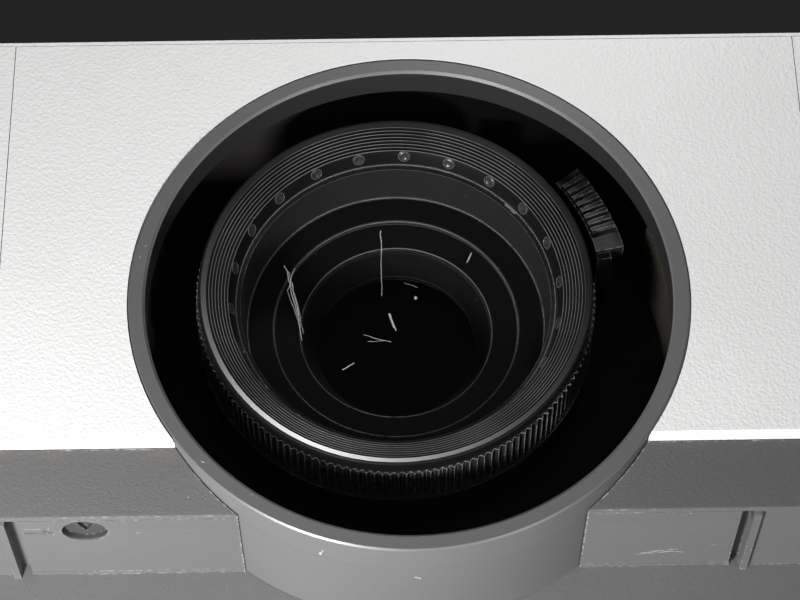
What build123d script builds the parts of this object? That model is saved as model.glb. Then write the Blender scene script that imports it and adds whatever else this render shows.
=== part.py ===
"""Installation video projector with a centred, shifting lens behind a round bezel.

Units are millimetres. +X is to the right seen from the front, +Y runs from the front
to the rear and +Z is up. The origin is under the middle of the body, on the table.
"""
from build123d import *
import math
import os

# Body: overall sizes
BODY_WIDTH = 500.0
BODY_DEPTH = 360.0
BODY_HEIGHT = 142.0        # underside of the lower case to the rim of the covers
FOOT_HEIGHT = 12.0
CORNER_R = 14.0
WALL = 2.5
COVER_GAP = 0.2            # seam between two covers
CROWN_RISE = 4.0
CROWN_RUN = 40.0
CROWN_OVERRUN = 1.0
EDGE_STRIP = 0.8           # what the top cover shows above the front panel
COVER_LIP = 6.0

# Lens bezel: places are taken from its centre
RING_R = 62.5
RING_WALL = 3.8
RING_BELOW_TOP = RING_R + 6.0
LIP_DEPTH = 7.7
SKIRT_WALL = 1.6
SKIRT_PART_LINE = 10.0
RING_GAP = 0.3
RING_EDGE = 0.4            # broken outer edge of the ring's face
TUNNEL_R = RING_R + 1.1
TUNNEL_WALL = 1.5
TUNNEL_END = 46.0
SKIRT_START = -33.0        # degrees below the horizontal where the skirt takes over
FLANGE_R = RING_R + 3.5
FLANGE_THICK = 2.5
FOAM_R = TUNNEL_R - 3.2
FOAM_NEAR = 14.0
FOAM_FAR = 40.0

# Front: the undercut grey nose, measured down from the ring's centre and back from its face
PANEL_HALF_WIDTH = RING_R + 28.9
PANEL_LOW = RING_R - 26.0
LEDGE_LOW = RING_R - 12.3
BAND_SETBACK = 2.8
LEDGE_SETBACK = 8.2
RISER_SETBACK = 39.0
PANEL_RETURN = 8.0
INSERT_THICK = 3.2
INSERT_NEAR = 9.6
INSERT_FAR = 37.6
INSERT_LEFT = RING_R + 23.3
INSERT_RIGHT = RING_R + 9.0
SLOT_WIDTH = 2.4
RIB_WIDTH = 1.6
RIB_PROUD = 1.0
RIB_OVERRUN = 1.2
RECESS_R = 5.0
RECESS_X = -(RING_R + 8.9)
RECESS_SETBACK = 15.3
RECESS_DEPTH = 1.6
KEYWAY_DEPTH = 1.0         # three-sided pocket sunk in the recess's floor
MARK_LENGTH = 6.7
MARK_HEIGHT = 2.2
MARK_PROUD = 0.25
MARK_GAP = 3.4

# Lens: rest place is off the ring's centre, as the shift leaves it
LENS_X = -2.93
LENS_RISE = 4.84
SHIFT_X = 6.0              # travel each way about the ring's centre
SHIFT_Z = 7.0
RIM_R = 44.6
RIM_SETBACK = 6.0
RIM_THICK = 3.4
GLASS_R = 36.9
GLASS_SAG = 3.2
GLASS_EDGE = 3.0
RIDGE_COUNT = 7
DIMPLE_COUNT = 21
DIMPLE_START = 1.1         # degrees round from the lens's right side
DIMPLE_R = 1.35
BARREL_R = 42.0
TUBE_R = 36.0
BARREL_STEP = 33.5
BARREL_END = 118.0
RUNNING_GAP = 0.25
FOCUS_R = 45.3
FOCUS_LENGTH = 12.0
TEETH = 160
TOOTH_DEPTH = 0.8
WINDOW_START = 4.0
WINDOW_END = 30.0
ZOOM_R = 45.6
ZOOM_LENGTH = 10.0
LEVER_INNER = 47.0
LEVER_OUTER = 53.5
LEVER_START = 12.0
LEVER_END = 37.0
LEVER_NEAR = 8.8
LEVER_THICK = 4.0
LEVER_RIDGES = 8
ARM_OUTER = 50.3
WEB_LENGTH = 4.0

# Lens shift: a fixed portal, a frame that rises in it and a plate that crosses the frame
SHIELD_SETBACK = 47.0
SHIELD_THICK = 1.5
SHIELD_HALF_WIDTH = TUNNEL_R + 10.4
SHIELD_HALF_HEIGHT = RING_R - 9.5
PORTAL_SETBACK = 90.0
PORTAL_DEPTH = 16.0
PORTAL_HALF_WIDTH = 95.0
PORTAL_POST = 8.0
PORTAL_GAP = 1.0
PORTAL_BAR = 6.0
PORTAL_FOOT = 12.0
FRAME_HALF_HEIGHT = 47.0
FRAME_INNER = 62.0
FRAME_OUTER = 84.0
FRAME_DEPTH = 12.0
GUIDE_R = 3.0
GUIDE_X = 75.0
GUIDE_GAP = 0.05
CROSS_ROD_Z = 41.0
CROSS_PLATE_HALF = 52.0
CROSS_PLATE_HALF_HEIGHT = 46.5

# Shift dials and the door above them
TRAY_NEAR = 54.0
TRAY_DEPTH = 32.0
TRAY_WIDTH = 92.0
TRAY_DROP = 10.0
DIAL_R = 11.0
DIAL_THICK = 6.0
DIAL_SPACING = 48.0
DIAL_NOTCHES = 18
DOOR_GAP = 0.4
HINGE_R = 1.9
PIN_R = 0.9
PIN_REACH = 3.0

# Lamp bay and its door
LAMP_FROM_INSERT = 20.0    # lamp bay's wall to the ceiling inserts' centres
LAMP_FROM_REAR = 105.0
LAMP_DOOR_SIZE = 112.0
LAMP_BAY_SIZE = 104.0
LAMP_BAY_HEIGHT = BODY_HEIGHT - 14.0
LAMP_WALL = 2.0
LAMP_BODY = 86.0
LAMP_BODY_HEIGHT = LAMP_BAY_HEIGHT - 24.0
LAMP_MOUTH_HEIGHT = 54.0   # middle of the reflector above the floor

# Key panel
KEY_PANEL_X = BODY_WIDTH / 2 - 140.0
KEY_PANEL_Y = BODY_DEPTH / 2 - 90.0
KEY_PANEL_WIDTH = 124.0
KEY_PANEL_DEPTH = 62.0
KEY_R = 5.0
KEY_GAP = 0.25
KEY_TRAVEL = 0.8
KEY_PROUD = KEY_TRAVEL + 0.2
KEY_SPACING = 17.0
LAMP_LENS_R = 1.6

# Rear panel, sockets and mains inlet
POCKET_X0 = 180.0 - BODY_WIDTH / 2
POCKET_X1 = BODY_WIDTH / 2 - 80.0
POCKET_DROP = 10.0
POCKET_LIFT = 7.0          # above the seam
POCKET_HEIGHT = 28.0
PORT_GAP = 0.3
BOARD_THICK = 1.6
INLET_X = 60.0 - BODY_WIDTH / 2
INLET_DROP = 70.0          # below the covers' rim
INLET_WIDTH = 31.0
INLET_HEIGHT = 24.0
INLET_MOUTH_WIDTH = 24.5
INLET_MOUTH_HEIGHT = 16.5
INLET_DEPTH = 22.0
INLET_MOUTH_DEPTH = 17.0
SWITCH_X = INLET_X + 40.0
SWITCH_WIDTH = 13.0
SWITCH_HEIGHT = 21.0
SWITCH_PIVOT = 4.5         # pivot line in from the rear face
IR_REAR_X = BODY_WIDTH / 2 - 120.0
IR_REAR_DROP = 36.0
IR_FRONT_X = 100.0 - BODY_WIDTH / 2
IR_FRONT_DROP = 58.0
IR_FRONT_R = 8.0
SPEAKER_X = POCKET_X0 + 53.0
SPEAKER_DROP = 31.0
SPEAKER_SLOTS = 12
SPEAKER_PITCH = 7.6

# Intake filter cassette, left side
FILTER_Y = 140.0 - BODY_DEPTH / 2
FILTER_LENGTH = 120.0
FILTER_HEIGHT = 76.0
FILTER_DROP = 53.0
FILTER_DEPTH = 16.0
FILTER_FACE = 3.0
FILTER_SLATS = 9
RAIL_THICK = 2.0

# Exhaust fan and the louvres in front of it
FAN_X = BODY_WIDTH / 2 - 78.0
FAN_DROP = 53.0
FAN_SIZE = 92.0
FAN_DEPTH = 25.0
FAN_BORE_R = 43.5
FAN_SETBACK = 8.0
BLADE_COUNT = 7
BLADE_R = 41.5
HUB_R = 17.0
LOUVRE_COUNT = 9
LOUVRE_WIDTH = 96.0
LOUVRE_HEIGHT = 84.0
SLAT_CHORD = 7.0
SLAT_THICK = 1.6
SLAT_ANGLE = 35.0
VENT_COUNT = 11
VENT_WIDTH = 3.6
VENT_PITCH = 11.0
VENT_NEAR = 16.0

# Light engine and electrics
ENGINE_LEFT = 58.0
ENGINE_RIGHT = 62.0
ENGINE_DEPTH = 70.0
ENGINE_GAP = 4.0           # between the barrel's end and the engine
ENGINE_LIFT = 11.0         # above the case's floor
SUPPLY_SLOTS = 8
SUPPLY_GAP = 5.0           # beside the portal's foot
SUPPLY_FROM_SIDE = 36.0
SUPPLY_FROM_BOARD = 58.0
BOARD_DEPTH = 82.0         # from the main board's front edge to the rear
SINK_FINS = 8

# Feet and fixings
FOOT_X = BODY_WIDTH / 2 - 50.0
FRONT_FOOT_SETBACK = 66.0
REAR_FOOT_SETBACK = BODY_DEPTH - 44.0
FOOT_R = 13.0
STEM_R = 5.0
STEM_LENGTH = 30.0
STEM_GAP = 0.1
BOSS_WALL = 3.5
INSERT_BORE_R = 2.1        # M5 tapping hole
CEILING_INSERT_R = 4.0
CEILING_INSERT_LENGTH = 10.0
CEILING_SPACING_X = 160.0
CEILING_SPACING_Y = 120.0
CEILING_Y = 15.0           # centre of the pattern, behind the origin
SCREW_HEAD_R = 3.0
SCREW_R = 1.5
SCREW_LENGTH = 9.0

# Places worked out from the sizes above
FRONT = -BODY_DEPTH / 2
REAR = BODY_DEPTH / 2
SIDE = BODY_WIDTH / 2
BOTTOM = FOOT_HEIGHT
FLOOR = BOTTOM + WALL
RIM_Z = BOTTOM + BODY_HEIGHT
RING_Z = RIM_Z - RING_BELOW_TOP
SEAM_Z = RING_Z - PANEL_LOW
LEDGE_Z = RING_Z - LEDGE_LOW
PANEL_TOP = RIM_Z - EDGE_STRIP - COVER_GAP
COVER_TOP = RIM_Z + CROWN_RISE
LENS_Z = RING_Z + LENS_RISE
LIP_R = RING_R - RING_WALL
POCKET_LOW = SEAM_Z + POCKET_LIFT
POCKET_HIGH = POCKET_LOW + POCKET_HEIGHT
INLET_Z = RIM_Z - INLET_DROP
IR_REAR_Z = RIM_Z - IR_REAR_DROP
IR_FRONT_Z = RIM_Z - IR_FRONT_DROP
SPEAKER_Z = RIM_Z - SPEAKER_DROP
FILTER_Z = RIM_Z - FILTER_DROP
FAN_Z = RIM_Z - FAN_DROP
LAMP_X = -(CEILING_SPACING_X / 2 + LAMP_FROM_INSERT + LAMP_BAY_SIZE / 2)
LAMP_Y = REAR - LAMP_FROM_REAR


def block(x0, x1, y0, y1, z0, z1):
    """A box from its six faces."""
    centre = Pos((x0 + x1) / 2, (y0 + y1) / 2, (z0 + z1) / 2)
    return centre * Box(x1 - x0, y1 - y0, z1 - z0)


def upright(radius, x, y, low, high):
    """A cylinder standing along Z."""
    return Pos(x, y, (low + high) / 2) * Cylinder(radius, high - low)


def along_y(radius, x, z, near, far):
    """A cylinder lying along Y."""
    return Pos(x, (near + far) / 2, z) * Rot(90, 0, 0) * Cylinder(radius, far - near)


def along_x(radius, x0, x1, y, z):
    """A cylinder lying along X."""
    return Pos((x0 + x1) / 2, y, z) * Rot(0, 90, 0) * Cylinder(radius, x1 - x0)


def turned(points, x, z):
    """A solid of revolution about Y from (radius, setback) points; setback 0 is the front."""
    profile = make_face(Polyline(*points, close=True))
    return Pos(x, FRONT, z) * revolve(profile, Axis.Y)


def facing(setback):
    """A sketch plane seen from the front, x to the right and z up."""
    return Plane(origin=(0, FRONT + setback, 0), x_dir=(1, 0, 0), z_dir=(0, -1, 0))


def sector(inner, outer, start, end, near, far, x, z):
    """Part of a ring about Y; angles run counter-clockwise from +X seen from the front."""
    def spot(radius, angle):
        turn = math.radians(angle)
        return (x + radius * math.cos(turn), z + radius * math.sin(turn))

    middle = (start + end) / 2
    outline = [
        ThreePointArc(spot(outer, start), spot(outer, middle), spot(outer, end)),
        Line(spot(outer, end), spot(inner, end)),
        ThreePointArc(spot(inner, end), spot(inner, middle), spot(inner, start)),
        Line(spot(inner, start), spot(outer, start)),
    ]
    return extrude(facing(near) * make_face(outline), far - near, dir=(0, 1, 0))


def plan(inset, low, high):
    """The body's rounded plan outline, drawn in by inset."""
    outline = RectangleRounded(BODY_WIDTH - 2 * inset, BODY_DEPTH - 2 * inset, CORNER_R - inset)
    return Pos(0, 0, low) * extrude(outline, high - low)


def save(node, shape):
    """Write one node's STEP file."""
    export_step(shape, f"parts/{node}.step")


# Housing

def nose_outline(top):
    """Side view of the lower case: sloped band, ledge, riser, floor and rear wall."""
    lean = (LEDGE_SETBACK - BAND_SETBACK) / (SEAM_Z - LEDGE_Z)
    points = [
        (FRONT + BAND_SETBACK - lean * (top - SEAM_Z), top),
        (FRONT + LEDGE_SETBACK, LEDGE_Z),
        (FRONT + RISER_SETBACK, LEDGE_Z),
        (FRONT + RISER_SETBACK, BOTTOM),
        (REAR, BOTTOM),
        (REAR, top),
    ]
    return make_face(Polyline(*points, close=True))


def foot_places(setback):
    return [(-FOOT_X, FRONT + setback), (FOOT_X, FRONT + setback)]


def ceiling_places():
    half_x, half_y = CEILING_SPACING_X / 2, CEILING_SPACING_Y / 2
    return [(x, CEILING_Y + y) for x in (-half_x, half_x) for y in (-half_y, half_y)]


def screw_places():
    return [(x, y) for x in (-SIDE + 25, SIDE - 25) for y in (FRONT + 140, REAR - 120, REAR - 25)]


def ledge_insert(side, gap):
    """Flat cover let into the underside of the nose, cut to the skirt's curve."""
    far = INSERT_LEFT if side < 0 else INSERT_RIGHT
    x0, x1 = sorted((side * 20.0, side * (far - gap)))
    plate = block(x0, x1, FRONT + INSERT_NEAR + gap, FRONT + INSERT_FAR - gap,
                  LEDGE_Z, LEDGE_Z + INSERT_THICK)
    return plate - along_y(RING_R + RING_GAP, 0, RING_Z, FRONT, FRONT + RISER_SETBACK)


def base_case():
    shell = extrude(Plane.YZ * nose_outline(SEAM_Z), SIDE, both=True) & plan(0, BOTTOM, SEAM_Z)
    hollow = offset(nose_outline(SEAM_Z + BODY_HEIGHT), -WALL, kind=Kind.INTERSECTION)
    shell -= extrude(Plane.YZ * hollow, SIDE - WALL, both=True) & plan(WALL, BOTTOM, RIM_Z)
    # doubled ledge with the pockets for the two flat inserts
    doubling = block(-PANEL_HALF_WIDTH - 8, PANEL_HALF_WIDTH, FRONT + LEDGE_SETBACK + WALL / 2,
                     FRONT + RISER_SETBACK + WALL / 2, LEDGE_Z + WALL / 2,
                     LEDGE_Z + WALL + INSERT_THICK)
    shell += doubling - along_y(RING_R + RING_GAP, 0, RING_Z, FRONT, FRONT + RISER_SETBACK + WALL)
    for side, far in ((-1, INSERT_LEFT), (1, INSERT_RIGHT)):
        shell -= ledge_insert(side, 0)
        inner, outer = far, far + SLOT_WIDTH
        x0, x1 = sorted((side * inner, side * outer))
        shell -= block(x0, x1, FRONT + INSERT_NEAR, FRONT + RISER_SETBACK, LEDGE_Z - 1,
                       LEDGE_Z + WALL)
        x0, x1 = sorted((side * outer, side * (outer + RIB_WIDTH)))
        shell += block(x0, x1, FRONT + INSERT_NEAR, FRONT + RISER_SETBACK + RIB_OVERRUN,
                       LEDGE_Z - RIB_PROUD, LEDGE_Z + WALL / 2)
    shell -= along_y(RING_R + RING_GAP, 0, RING_Z, FRONT, FRONT + RISER_SETBACK)
    # bosses for the adjusters, the ceiling inserts and the case screws
    for x, y in foot_places(FRONT_FOOT_SETBACK):
        shell += upright(STEM_R + BOSS_WALL, x, y, FLOOR - 0.5, BOTTOM + STEM_LENGTH + 4)
        shell -= upright(STEM_R + STEM_GAP, x, y, BOTTOM - 1, BOTTOM + STEM_LENGTH + 1)
    for x, y in ceiling_places():
        shell += upright(CEILING_INSERT_R + BOSS_WALL, x, y, FLOOR - 0.5,
                         BOTTOM + CEILING_INSERT_LENGTH + 2)
        shell -= upright(CEILING_INSERT_R, x, y, BOTTOM - 1, BOTTOM + CEILING_INSERT_LENGTH)
    for x, y in screw_places():
        shell += upright(SCREW_R + BOSS_WALL, x, y, FLOOR - 0.5, BOTTOM + SCREW_LENGTH + 4)
        shell -= upright(SCREW_R, x, y, BOTTOM - 1, BOTTOM + SCREW_LENGTH + 1)
        shell -= upright(SCREW_HEAD_R + 0.2, x, y, BOTTOM - 1, BOTTOM + WALL - 0.8)
    # cradle ribs under the fan
    for x in (FAN_X - FAN_SIZE / 3, FAN_X + FAN_SIZE / 3):
        shell += block(x - 2, x + 2, FRONT + RISER_SETBACK + 0.5, FRONT + RISER_SETBACK + 14,
                       FLOOR - 0.5, FAN_Z - FAN_SIZE / 2 - 0.2)
        shell += block(x - 2, x + 2, FRONT + FAN_SETBACK + 6, FRONT + RISER_SETBACK + 14,
                       LEDGE_Z + WALL - 0.5, FAN_Z - FAN_SIZE / 2 - 0.2)
    return shell


def crowned(drop):
    """The top cover's outer form: straight in the middle, rolling off to every rim."""
    def swell(half):
        # the arc reaches the rim at the wall and runs on past it, to be cut off there
        flat, end = half - CROWN_RUN, half + CROWN_OVERRUN
        low, top = RIM_Z - COVER_LIP - drop, COVER_TOP - drop
        radius = (CROWN_RUN ** 2 + CROWN_RISE ** 2) / (2 * CROWN_RISE)

        def height(run):
            return top - radius + math.sqrt(radius ** 2 - run ** 2)

        run = CROWN_RUN + CROWN_OVERRUN
        return [
            Line((-end, low), (-end, height(run))),
            ThreePointArc((-end, height(run)), (-flat - run / 2, height(run / 2)), (-flat, top)),
            Line((-flat, top), (flat, top)),
            ThreePointArc((flat, top), (flat + run / 2, height(run / 2)), (end, height(run))),
            Line((end, height(run)), (end, low)),
            Line((end, low), (-end, low)),
        ]

    across = extrude(Plane.XZ * make_face(swell(SIDE)), REAR + CROWN_OVERRUN, both=True)
    lengthways = extrude(Plane.YZ * make_face(swell(REAR)), SIDE + CROWN_OVERRUN, both=True)
    return across & lengthways


def door_slot(x0, x1, y0, y1):
    return block(x0, x1, y0, y1, RIM_Z - WALL, COVER_TOP + 1)


def hinge_bosses(x0, x1, y, cut):
    """Ears under the cover that hold a door's pins, and the bores for the pins."""
    ears = []
    for x, way in ((x0, -1), (x1, 1)):
        a, b = sorted((x + way * (0 if cut else 0.01), x + way * (PIN_REACH + (0.5 if cut else 1.5))))
        if cut:
            ears.append(along_x(PIN_R + 0.1, a, b, y, COVER_TOP - HINGE_R))
        else:
            ears.append(block(a, b, y - 2.5, y + 2.5, COVER_TOP - HINGE_R - 2.6, COVER_TOP - 1))
    return ears


SHIFT_DOOR = (-TRAY_WIDTH / 2, TRAY_WIDTH / 2, FRONT + TRAY_NEAR, FRONT + TRAY_NEAR + TRAY_DEPTH)
LAMP_DOOR = (LAMP_X - LAMP_DOOR_SIZE / 2, LAMP_X + LAMP_DOOR_SIZE / 2,
             LAMP_Y - LAMP_DOOR_SIZE / 2, LAMP_Y + LAMP_DOOR_SIZE / 2)


def top_cover():
    rim = PANEL_TOP + COVER_GAP
    shell = crowned(0) & plan(0, rim, COVER_TOP + 1)
    shell -= crowned(WALL) & plan(WALL + 0.5, RIM_Z - COVER_LIP - WALL, COVER_TOP)
    lip = plan(WALL + 0.3, rim - COVER_LIP, rim + 0.3) - plan(2 * WALL + 0.3, rim - COVER_LIP, rim + 1)
    lip -= block(-RING_R - 15, RING_R + 15, FRONT, FRONT + CROWN_RUN, 0, rim - 0.01)
    shell += lip
    # moulded tray for the shift dials
    x0, x1, y0, y1 = SHIFT_DOOR
    floor = COVER_TOP - WALL - TRAY_DROP
    tray = block(x0 - WALL, x1 + WALL, y0 - WALL, y1 + WALL, floor - WALL, COVER_TOP - WALL / 2)
    tray -= block(x0, x1, y0, y1, floor, COVER_TOP + 1)
    shell += tray
    for x in (-DIAL_SPACING / 2, DIAL_SPACING / 2):
        shell -= upright(3.0, x, (y0 + y1) / 2, floor - WALL - 1, floor + 1)
    shell -= door_slot(x0, x1, y0, y1)
    shell -= door_slot(*LAMP_DOOR)
    for door in (SHIFT_DOOR, LAMP_DOOR):
        dx0, dx1, dy0, dy1 = door
        axis_y = dy1 - DOOR_GAP - HINGE_R
        for ear in hinge_bosses(dx0, dx1, axis_y, False):
            shell += ear
        for bore in hinge_bosses(dx0, dx1, axis_y, True):
            shell -= bore
    # opening for the key panel, with a ledge under it
    half_w, half_d = KEY_PANEL_WIDTH / 2, KEY_PANEL_DEPTH / 2
    shell -= block(KEY_PANEL_X - half_w, KEY_PANEL_X + half_w, KEY_PANEL_Y - half_d,
                   KEY_PANEL_Y + half_d, RIM_Z - WALL, COVER_TOP + 1)
    frame = block(KEY_PANEL_X - half_w - 2, KEY_PANEL_X + half_w + 2, KEY_PANEL_Y - half_d - 2,
                  KEY_PANEL_Y + half_d + 2, COVER_TOP - WALL - 1.5, COVER_TOP - WALL)
    frame -= block(KEY_PANEL_X - half_w + 2, KEY_PANEL_X + half_w - 2, KEY_PANEL_Y - half_d + 2,
                   KEY_PANEL_Y + half_d - 2, 0, COVER_TOP)
    return shell + frame


def panel_ring():
    """The covers' upright wall all round, before it is cut into its four pieces."""
    return plan(0, SEAM_Z + COVER_GAP, PANEL_TOP) - plan(WALL, SEAM_Z, PANEL_TOP + 1)


def front_panel():
    half = PANEL_HALF_WIDTH - COVER_GAP / 2
    plate = panel_ring() & block(-half, half, FRONT, FRONT + WALL + 1, 0, COVER_TOP)
    low = SEAM_Z + COVER_GAP
    plate += block(-half, half, FRONT, FRONT + PANEL_RETURN, low, low + WALL)
    outer = plate.edges().filter_by(Axis.X).sort_by_distance((0, FRONT, low))[0]
    plate = chamfer(outer, 0.9)
    return plate - along_y(RING_R + COVER_GAP, 0, RING_Z, FRONT - 1, FRONT + PANEL_RETURN + 1)


def side_cover(side):
    """Front outer panel, rounded corner, side wall and rear corner in one moulding."""
    inner = PANEL_HALF_WIDTH + COVER_GAP / 2
    x0, x1 = sorted((side * inner, side * SIDE))
    cover = panel_ring() & block(x0, x1, FRONT, 0, 0, COVER_TOP)
    x0, x1 = sorted((side * (SIDE - CORNER_R - 6), side * SIDE))
    cover += panel_ring() & block(x0, x1, -1, REAR, 0, COVER_TOP)
    x0, x1 = sorted((side * inner, side * (SIDE - CORNER_R)))
    low = SEAM_Z + COVER_GAP
    cover += block(x0, x1, FRONT + 1, FRONT + PANEL_RETURN, low, low + WALL)
    return cover


def side_cover_left():
    cover = side_cover(-1)
    half_l, half_h = FILTER_LENGTH / 2, FILTER_HEIGHT / 2
    cover -= block(-SIDE - 1, -SIDE + WALL + 1, FILTER_Y - half_l, FILTER_Y + half_l,
                   FILTER_Z - half_h, FILTER_Z + half_h)
    cover -= along_y(IR_FRONT_R, IR_FRONT_X, IR_FRONT_Z, FRONT - 1, FRONT + WALL + 1)
    # rails the cassette slides between
    for z, way in ((FILTER_Z - half_h, -1), (FILTER_Z + half_h, 1)):
        low, high = sorted((z + way * 0.0, z + way * RAIL_THICK))
        cover += block(-SIDE + WALL - 0.5, -SIDE + FILTER_DEPTH + FILTER_FACE, FILTER_Y - half_l,
                       FILTER_Y + half_l, low, high)
    return cover


def side_cover_right():
    cover = side_cover(1)
    x0, x1 = FAN_X - LOUVRE_WIDTH / 2, FAN_X + LOUVRE_WIDTH / 2
    low, high = FAN_Z - LOUVRE_HEIGHT / 2, FAN_Z + LOUVRE_HEIGHT / 2
    x1 = min(x1, SIDE - CORNER_R - 2)
    cover -= block(x0, x1, FRONT - 1, FRONT + WALL + 1, low, high)
    pitch = LOUVRE_HEIGHT / LOUVRE_COUNT
    for i in range(LOUVRE_COUNT):
        place = Pos((x0 + x1) / 2, FRONT + 3.2, low + pitch * (i + 0.5))
        slat = place * Rot(-SLAT_ANGLE, 0, 0) * Box(x1 - x0 + 1, SLAT_CHORD, SLAT_THICK)
        cover += slat & block(x0 - 1, x1 + 1, FRONT, FRONT + FAN_SETBACK - 1, 0, COVER_TOP)
    # vents in the side wall
    for i in range(VENT_COUNT):
        y = VENT_NEAR + i * VENT_PITCH
        cover -= block(SIDE - WALL - 1, SIDE + 1, y, y + VENT_WIDTH, FAN_Z - 30, FAN_Z + 30)
    return cover


def port_places():
    """Left edge, width and height of every signal socket, spread evenly along the pocket."""
    sizes = [("hdmi", 15.0, 6.2), ("hdmi", 15.0, 6.2), ("vga", 31.0, 12.5), ("vga", 31.0, 12.5),
             ("lan", 16.5, 13.5), ("usb", 14.5, 7.6), ("serial", 31.0, 12.5), ("jack", 7.0, 7.0),
             ("jack", 7.0, 7.0)]
    spare = POCKET_X1 - POCKET_X0 - sum(width for _, width, _ in sizes)
    gap = spare / (len(sizes) + 1)
    places = {}
    x = POCKET_X0 + gap
    for kind, width, height in sizes:
        places.setdefault(kind, []).append((x, width, height))
        x += width + gap
    return places


BOARD_TOP = POCKET_LOW + WALL + 1.0


def rear_panel():
    half = SIDE - CORNER_R - 6 - COVER_GAP
    low, high = SEAM_Z + COVER_GAP, PANEL_TOP
    plate = block(-half, half, REAR - WALL, REAR, low, high)
    back = REAR - POCKET_DROP
    plate += block(POCKET_X0 - WALL, POCKET_X1 + WALL, back - WALL, REAR - 0.5, POCKET_LOW - WALL,
                   POCKET_HIGH + WALL)
    plate -= block(POCKET_X0, POCKET_X1, back, REAR + 1, POCKET_LOW, POCKET_HIGH)
    for places in port_places().values():
        for x, width, height in places:
            plate -= block(x - PORT_GAP, x + width + PORT_GAP, back - WALL - 1, back + 1,
                           BOARD_TOP, BOARD_TOP + height + PORT_GAP)
    half_w, half_h = INLET_WIDTH / 2 - 2, INLET_HEIGHT / 2 - 2
    plate -= block(INLET_X - half_w, INLET_X + half_w, REAR - WALL - 1, REAR + 1,
                   INLET_Z - half_h, INLET_Z + half_h)
    # rocker bay, with ears for its pivot
    half_w, half_h = SWITCH_WIDTH / 2 + 0.4, SWITCH_HEIGHT / 2 + 0.6
    plate += block(SWITCH_X - half_w - 2, SWITCH_X + half_w + 2, REAR - 16, REAR - 1,
                   INLET_Z - half_h - 2, INLET_Z + half_h + 2)
    plate -= block(SWITCH_X - half_w, SWITCH_X + half_w, REAR - 14, REAR + 1,
                   INLET_Z - half_h, INLET_Z + half_h)
    plate -= along_x(1.1, SWITCH_X - half_w - 1.5, SWITCH_X + half_w + 1.5, REAR - SWITCH_PIVOT,
                     INLET_Z)
    # speaker slots and the receiver's window
    for i in range(SPEAKER_SLOTS):
        x = SPEAKER_X + (i - (SPEAKER_SLOTS - 1) / 2) * SPEAKER_PITCH - 1.2
        plate -= block(x, x + VENT_WIDTH - 0.6, REAR - WALL - 1, REAR + 1, SPEAKER_Z - 15,
                       SPEAKER_Z + 15)
    plate -= block(IR_REAR_X - 10, IR_REAR_X + 10, REAR - WALL - 1, REAR + 1, IR_REAR_Z - 6,
                   IR_REAR_Z + 6)
    return plate


def ir_windows():
    """Dark receiver windows: one through the left front panel, one in the rear panel."""
    rear = block(IR_REAR_X - 9.8, IR_REAR_X + 9.8, REAR - WALL, REAR - 0.3, IR_REAR_Z - 5.8,
                 IR_REAR_Z + 5.8)
    rear += block(IR_REAR_X - 12, IR_REAR_X + 12, REAR - WALL - 2, REAR - WALL, IR_REAR_Z - 8,
                  IR_REAR_Z + 8)
    front = along_y(IR_FRONT_R - 0.2, IR_FRONT_X, IR_FRONT_Z, FRONT + 0.3, FRONT + WALL)
    front += along_y(IR_FRONT_R + 2, IR_FRONT_X, IR_FRONT_Z, FRONT + WALL, FRONT + WALL + 2)
    return Compound([rear, front])


# Bezel, tunnel and seals

def lens_bezel():
    inner, outer = LIP_R, RING_R
    lip = turned([(inner + 0.6, 0), (outer - RING_EDGE, 0), (outer, RING_EDGE), (outer, LIP_DEPTH),
                  (inner, LIP_DEPTH), (inner, 0.6)], 0, RING_Z)
    start, end = -180 - SKIRT_START, SKIRT_START
    skirt = sector(outer - SKIRT_WALL, outer, start, end, LIP_DEPTH, RISER_SETBACK - RING_GAP,
                   0, RING_Z)
    groove = turned([(outer - 0.3, SKIRT_PART_LINE), (outer + 1, SKIRT_PART_LINE - 0.3),
                     (outer + 1, SKIRT_PART_LINE + 0.3)], 0, RING_Z)
    flange = sector(outer - 0.5, FLANGE_R, SKIRT_START + 4, 176 - SKIRT_START, WALL + 0.4,
                    WALL + 0.4 + FLANGE_THICK, 0, RING_Z)
    return lip + (skirt - groove) + flange


def lens_tunnel():
    """Black sleeve behind the bezel, open at the bottom where the skirt takes over."""
    outer = TUNNEL_R + TUNNEL_WALL
    near = LIP_DEPTH + 0.3
    sleeve = sector(TUNNEL_R, outer, SKIRT_START + 3, 177 - SKIRT_START, near, TUNNEL_END, 0, RING_Z)
    step = RING_R - SKIRT_WALL + 0.2
    for start in (SKIRT_START + 2, 176.5 - SKIRT_START):
        sleeve += sector(step, outer, start, start + 1.5, near, TUNNEL_END, 0, RING_Z)
    return sleeve


def foam_seals():
    """Strips of open-cell foam inside the tunnel, left and right of the lens."""
    right = sector(FOAM_R, TUNNEL_R - 0.1, -4, 24, FOAM_NEAR, FOAM_FAR, 0, RING_Z)
    left = sector(FOAM_R, TUNNEL_R - 0.1, 158, 186, FOAM_NEAR, FOAM_FAR, 0, RING_Z)
    return Compound([right, left])


def arrow(x, y):
    """Outline arrow standing proud of the insert's underside, pointing right."""
    head = MARK_LENGTH * 0.35
    half, shaft = MARK_HEIGHT / 2, MARK_HEIGHT / 5
    tail, neck = x, x + MARK_LENGTH - head
    points = [(tail, y - shaft), (neck, y - shaft), (neck, y - half), (x + MARK_LENGTH, y),
              (neck, y + half), (neck, y + shaft), (tail, y + shaft)]
    line = make_face(Polyline(*points, close=True))
    line -= offset(line, -0.3, kind=Kind.INTERSECTION)
    return Pos(0, 0, LEDGE_Z - MARK_PROUD) * extrude(line, MARK_PROUD + 0.2)


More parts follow.
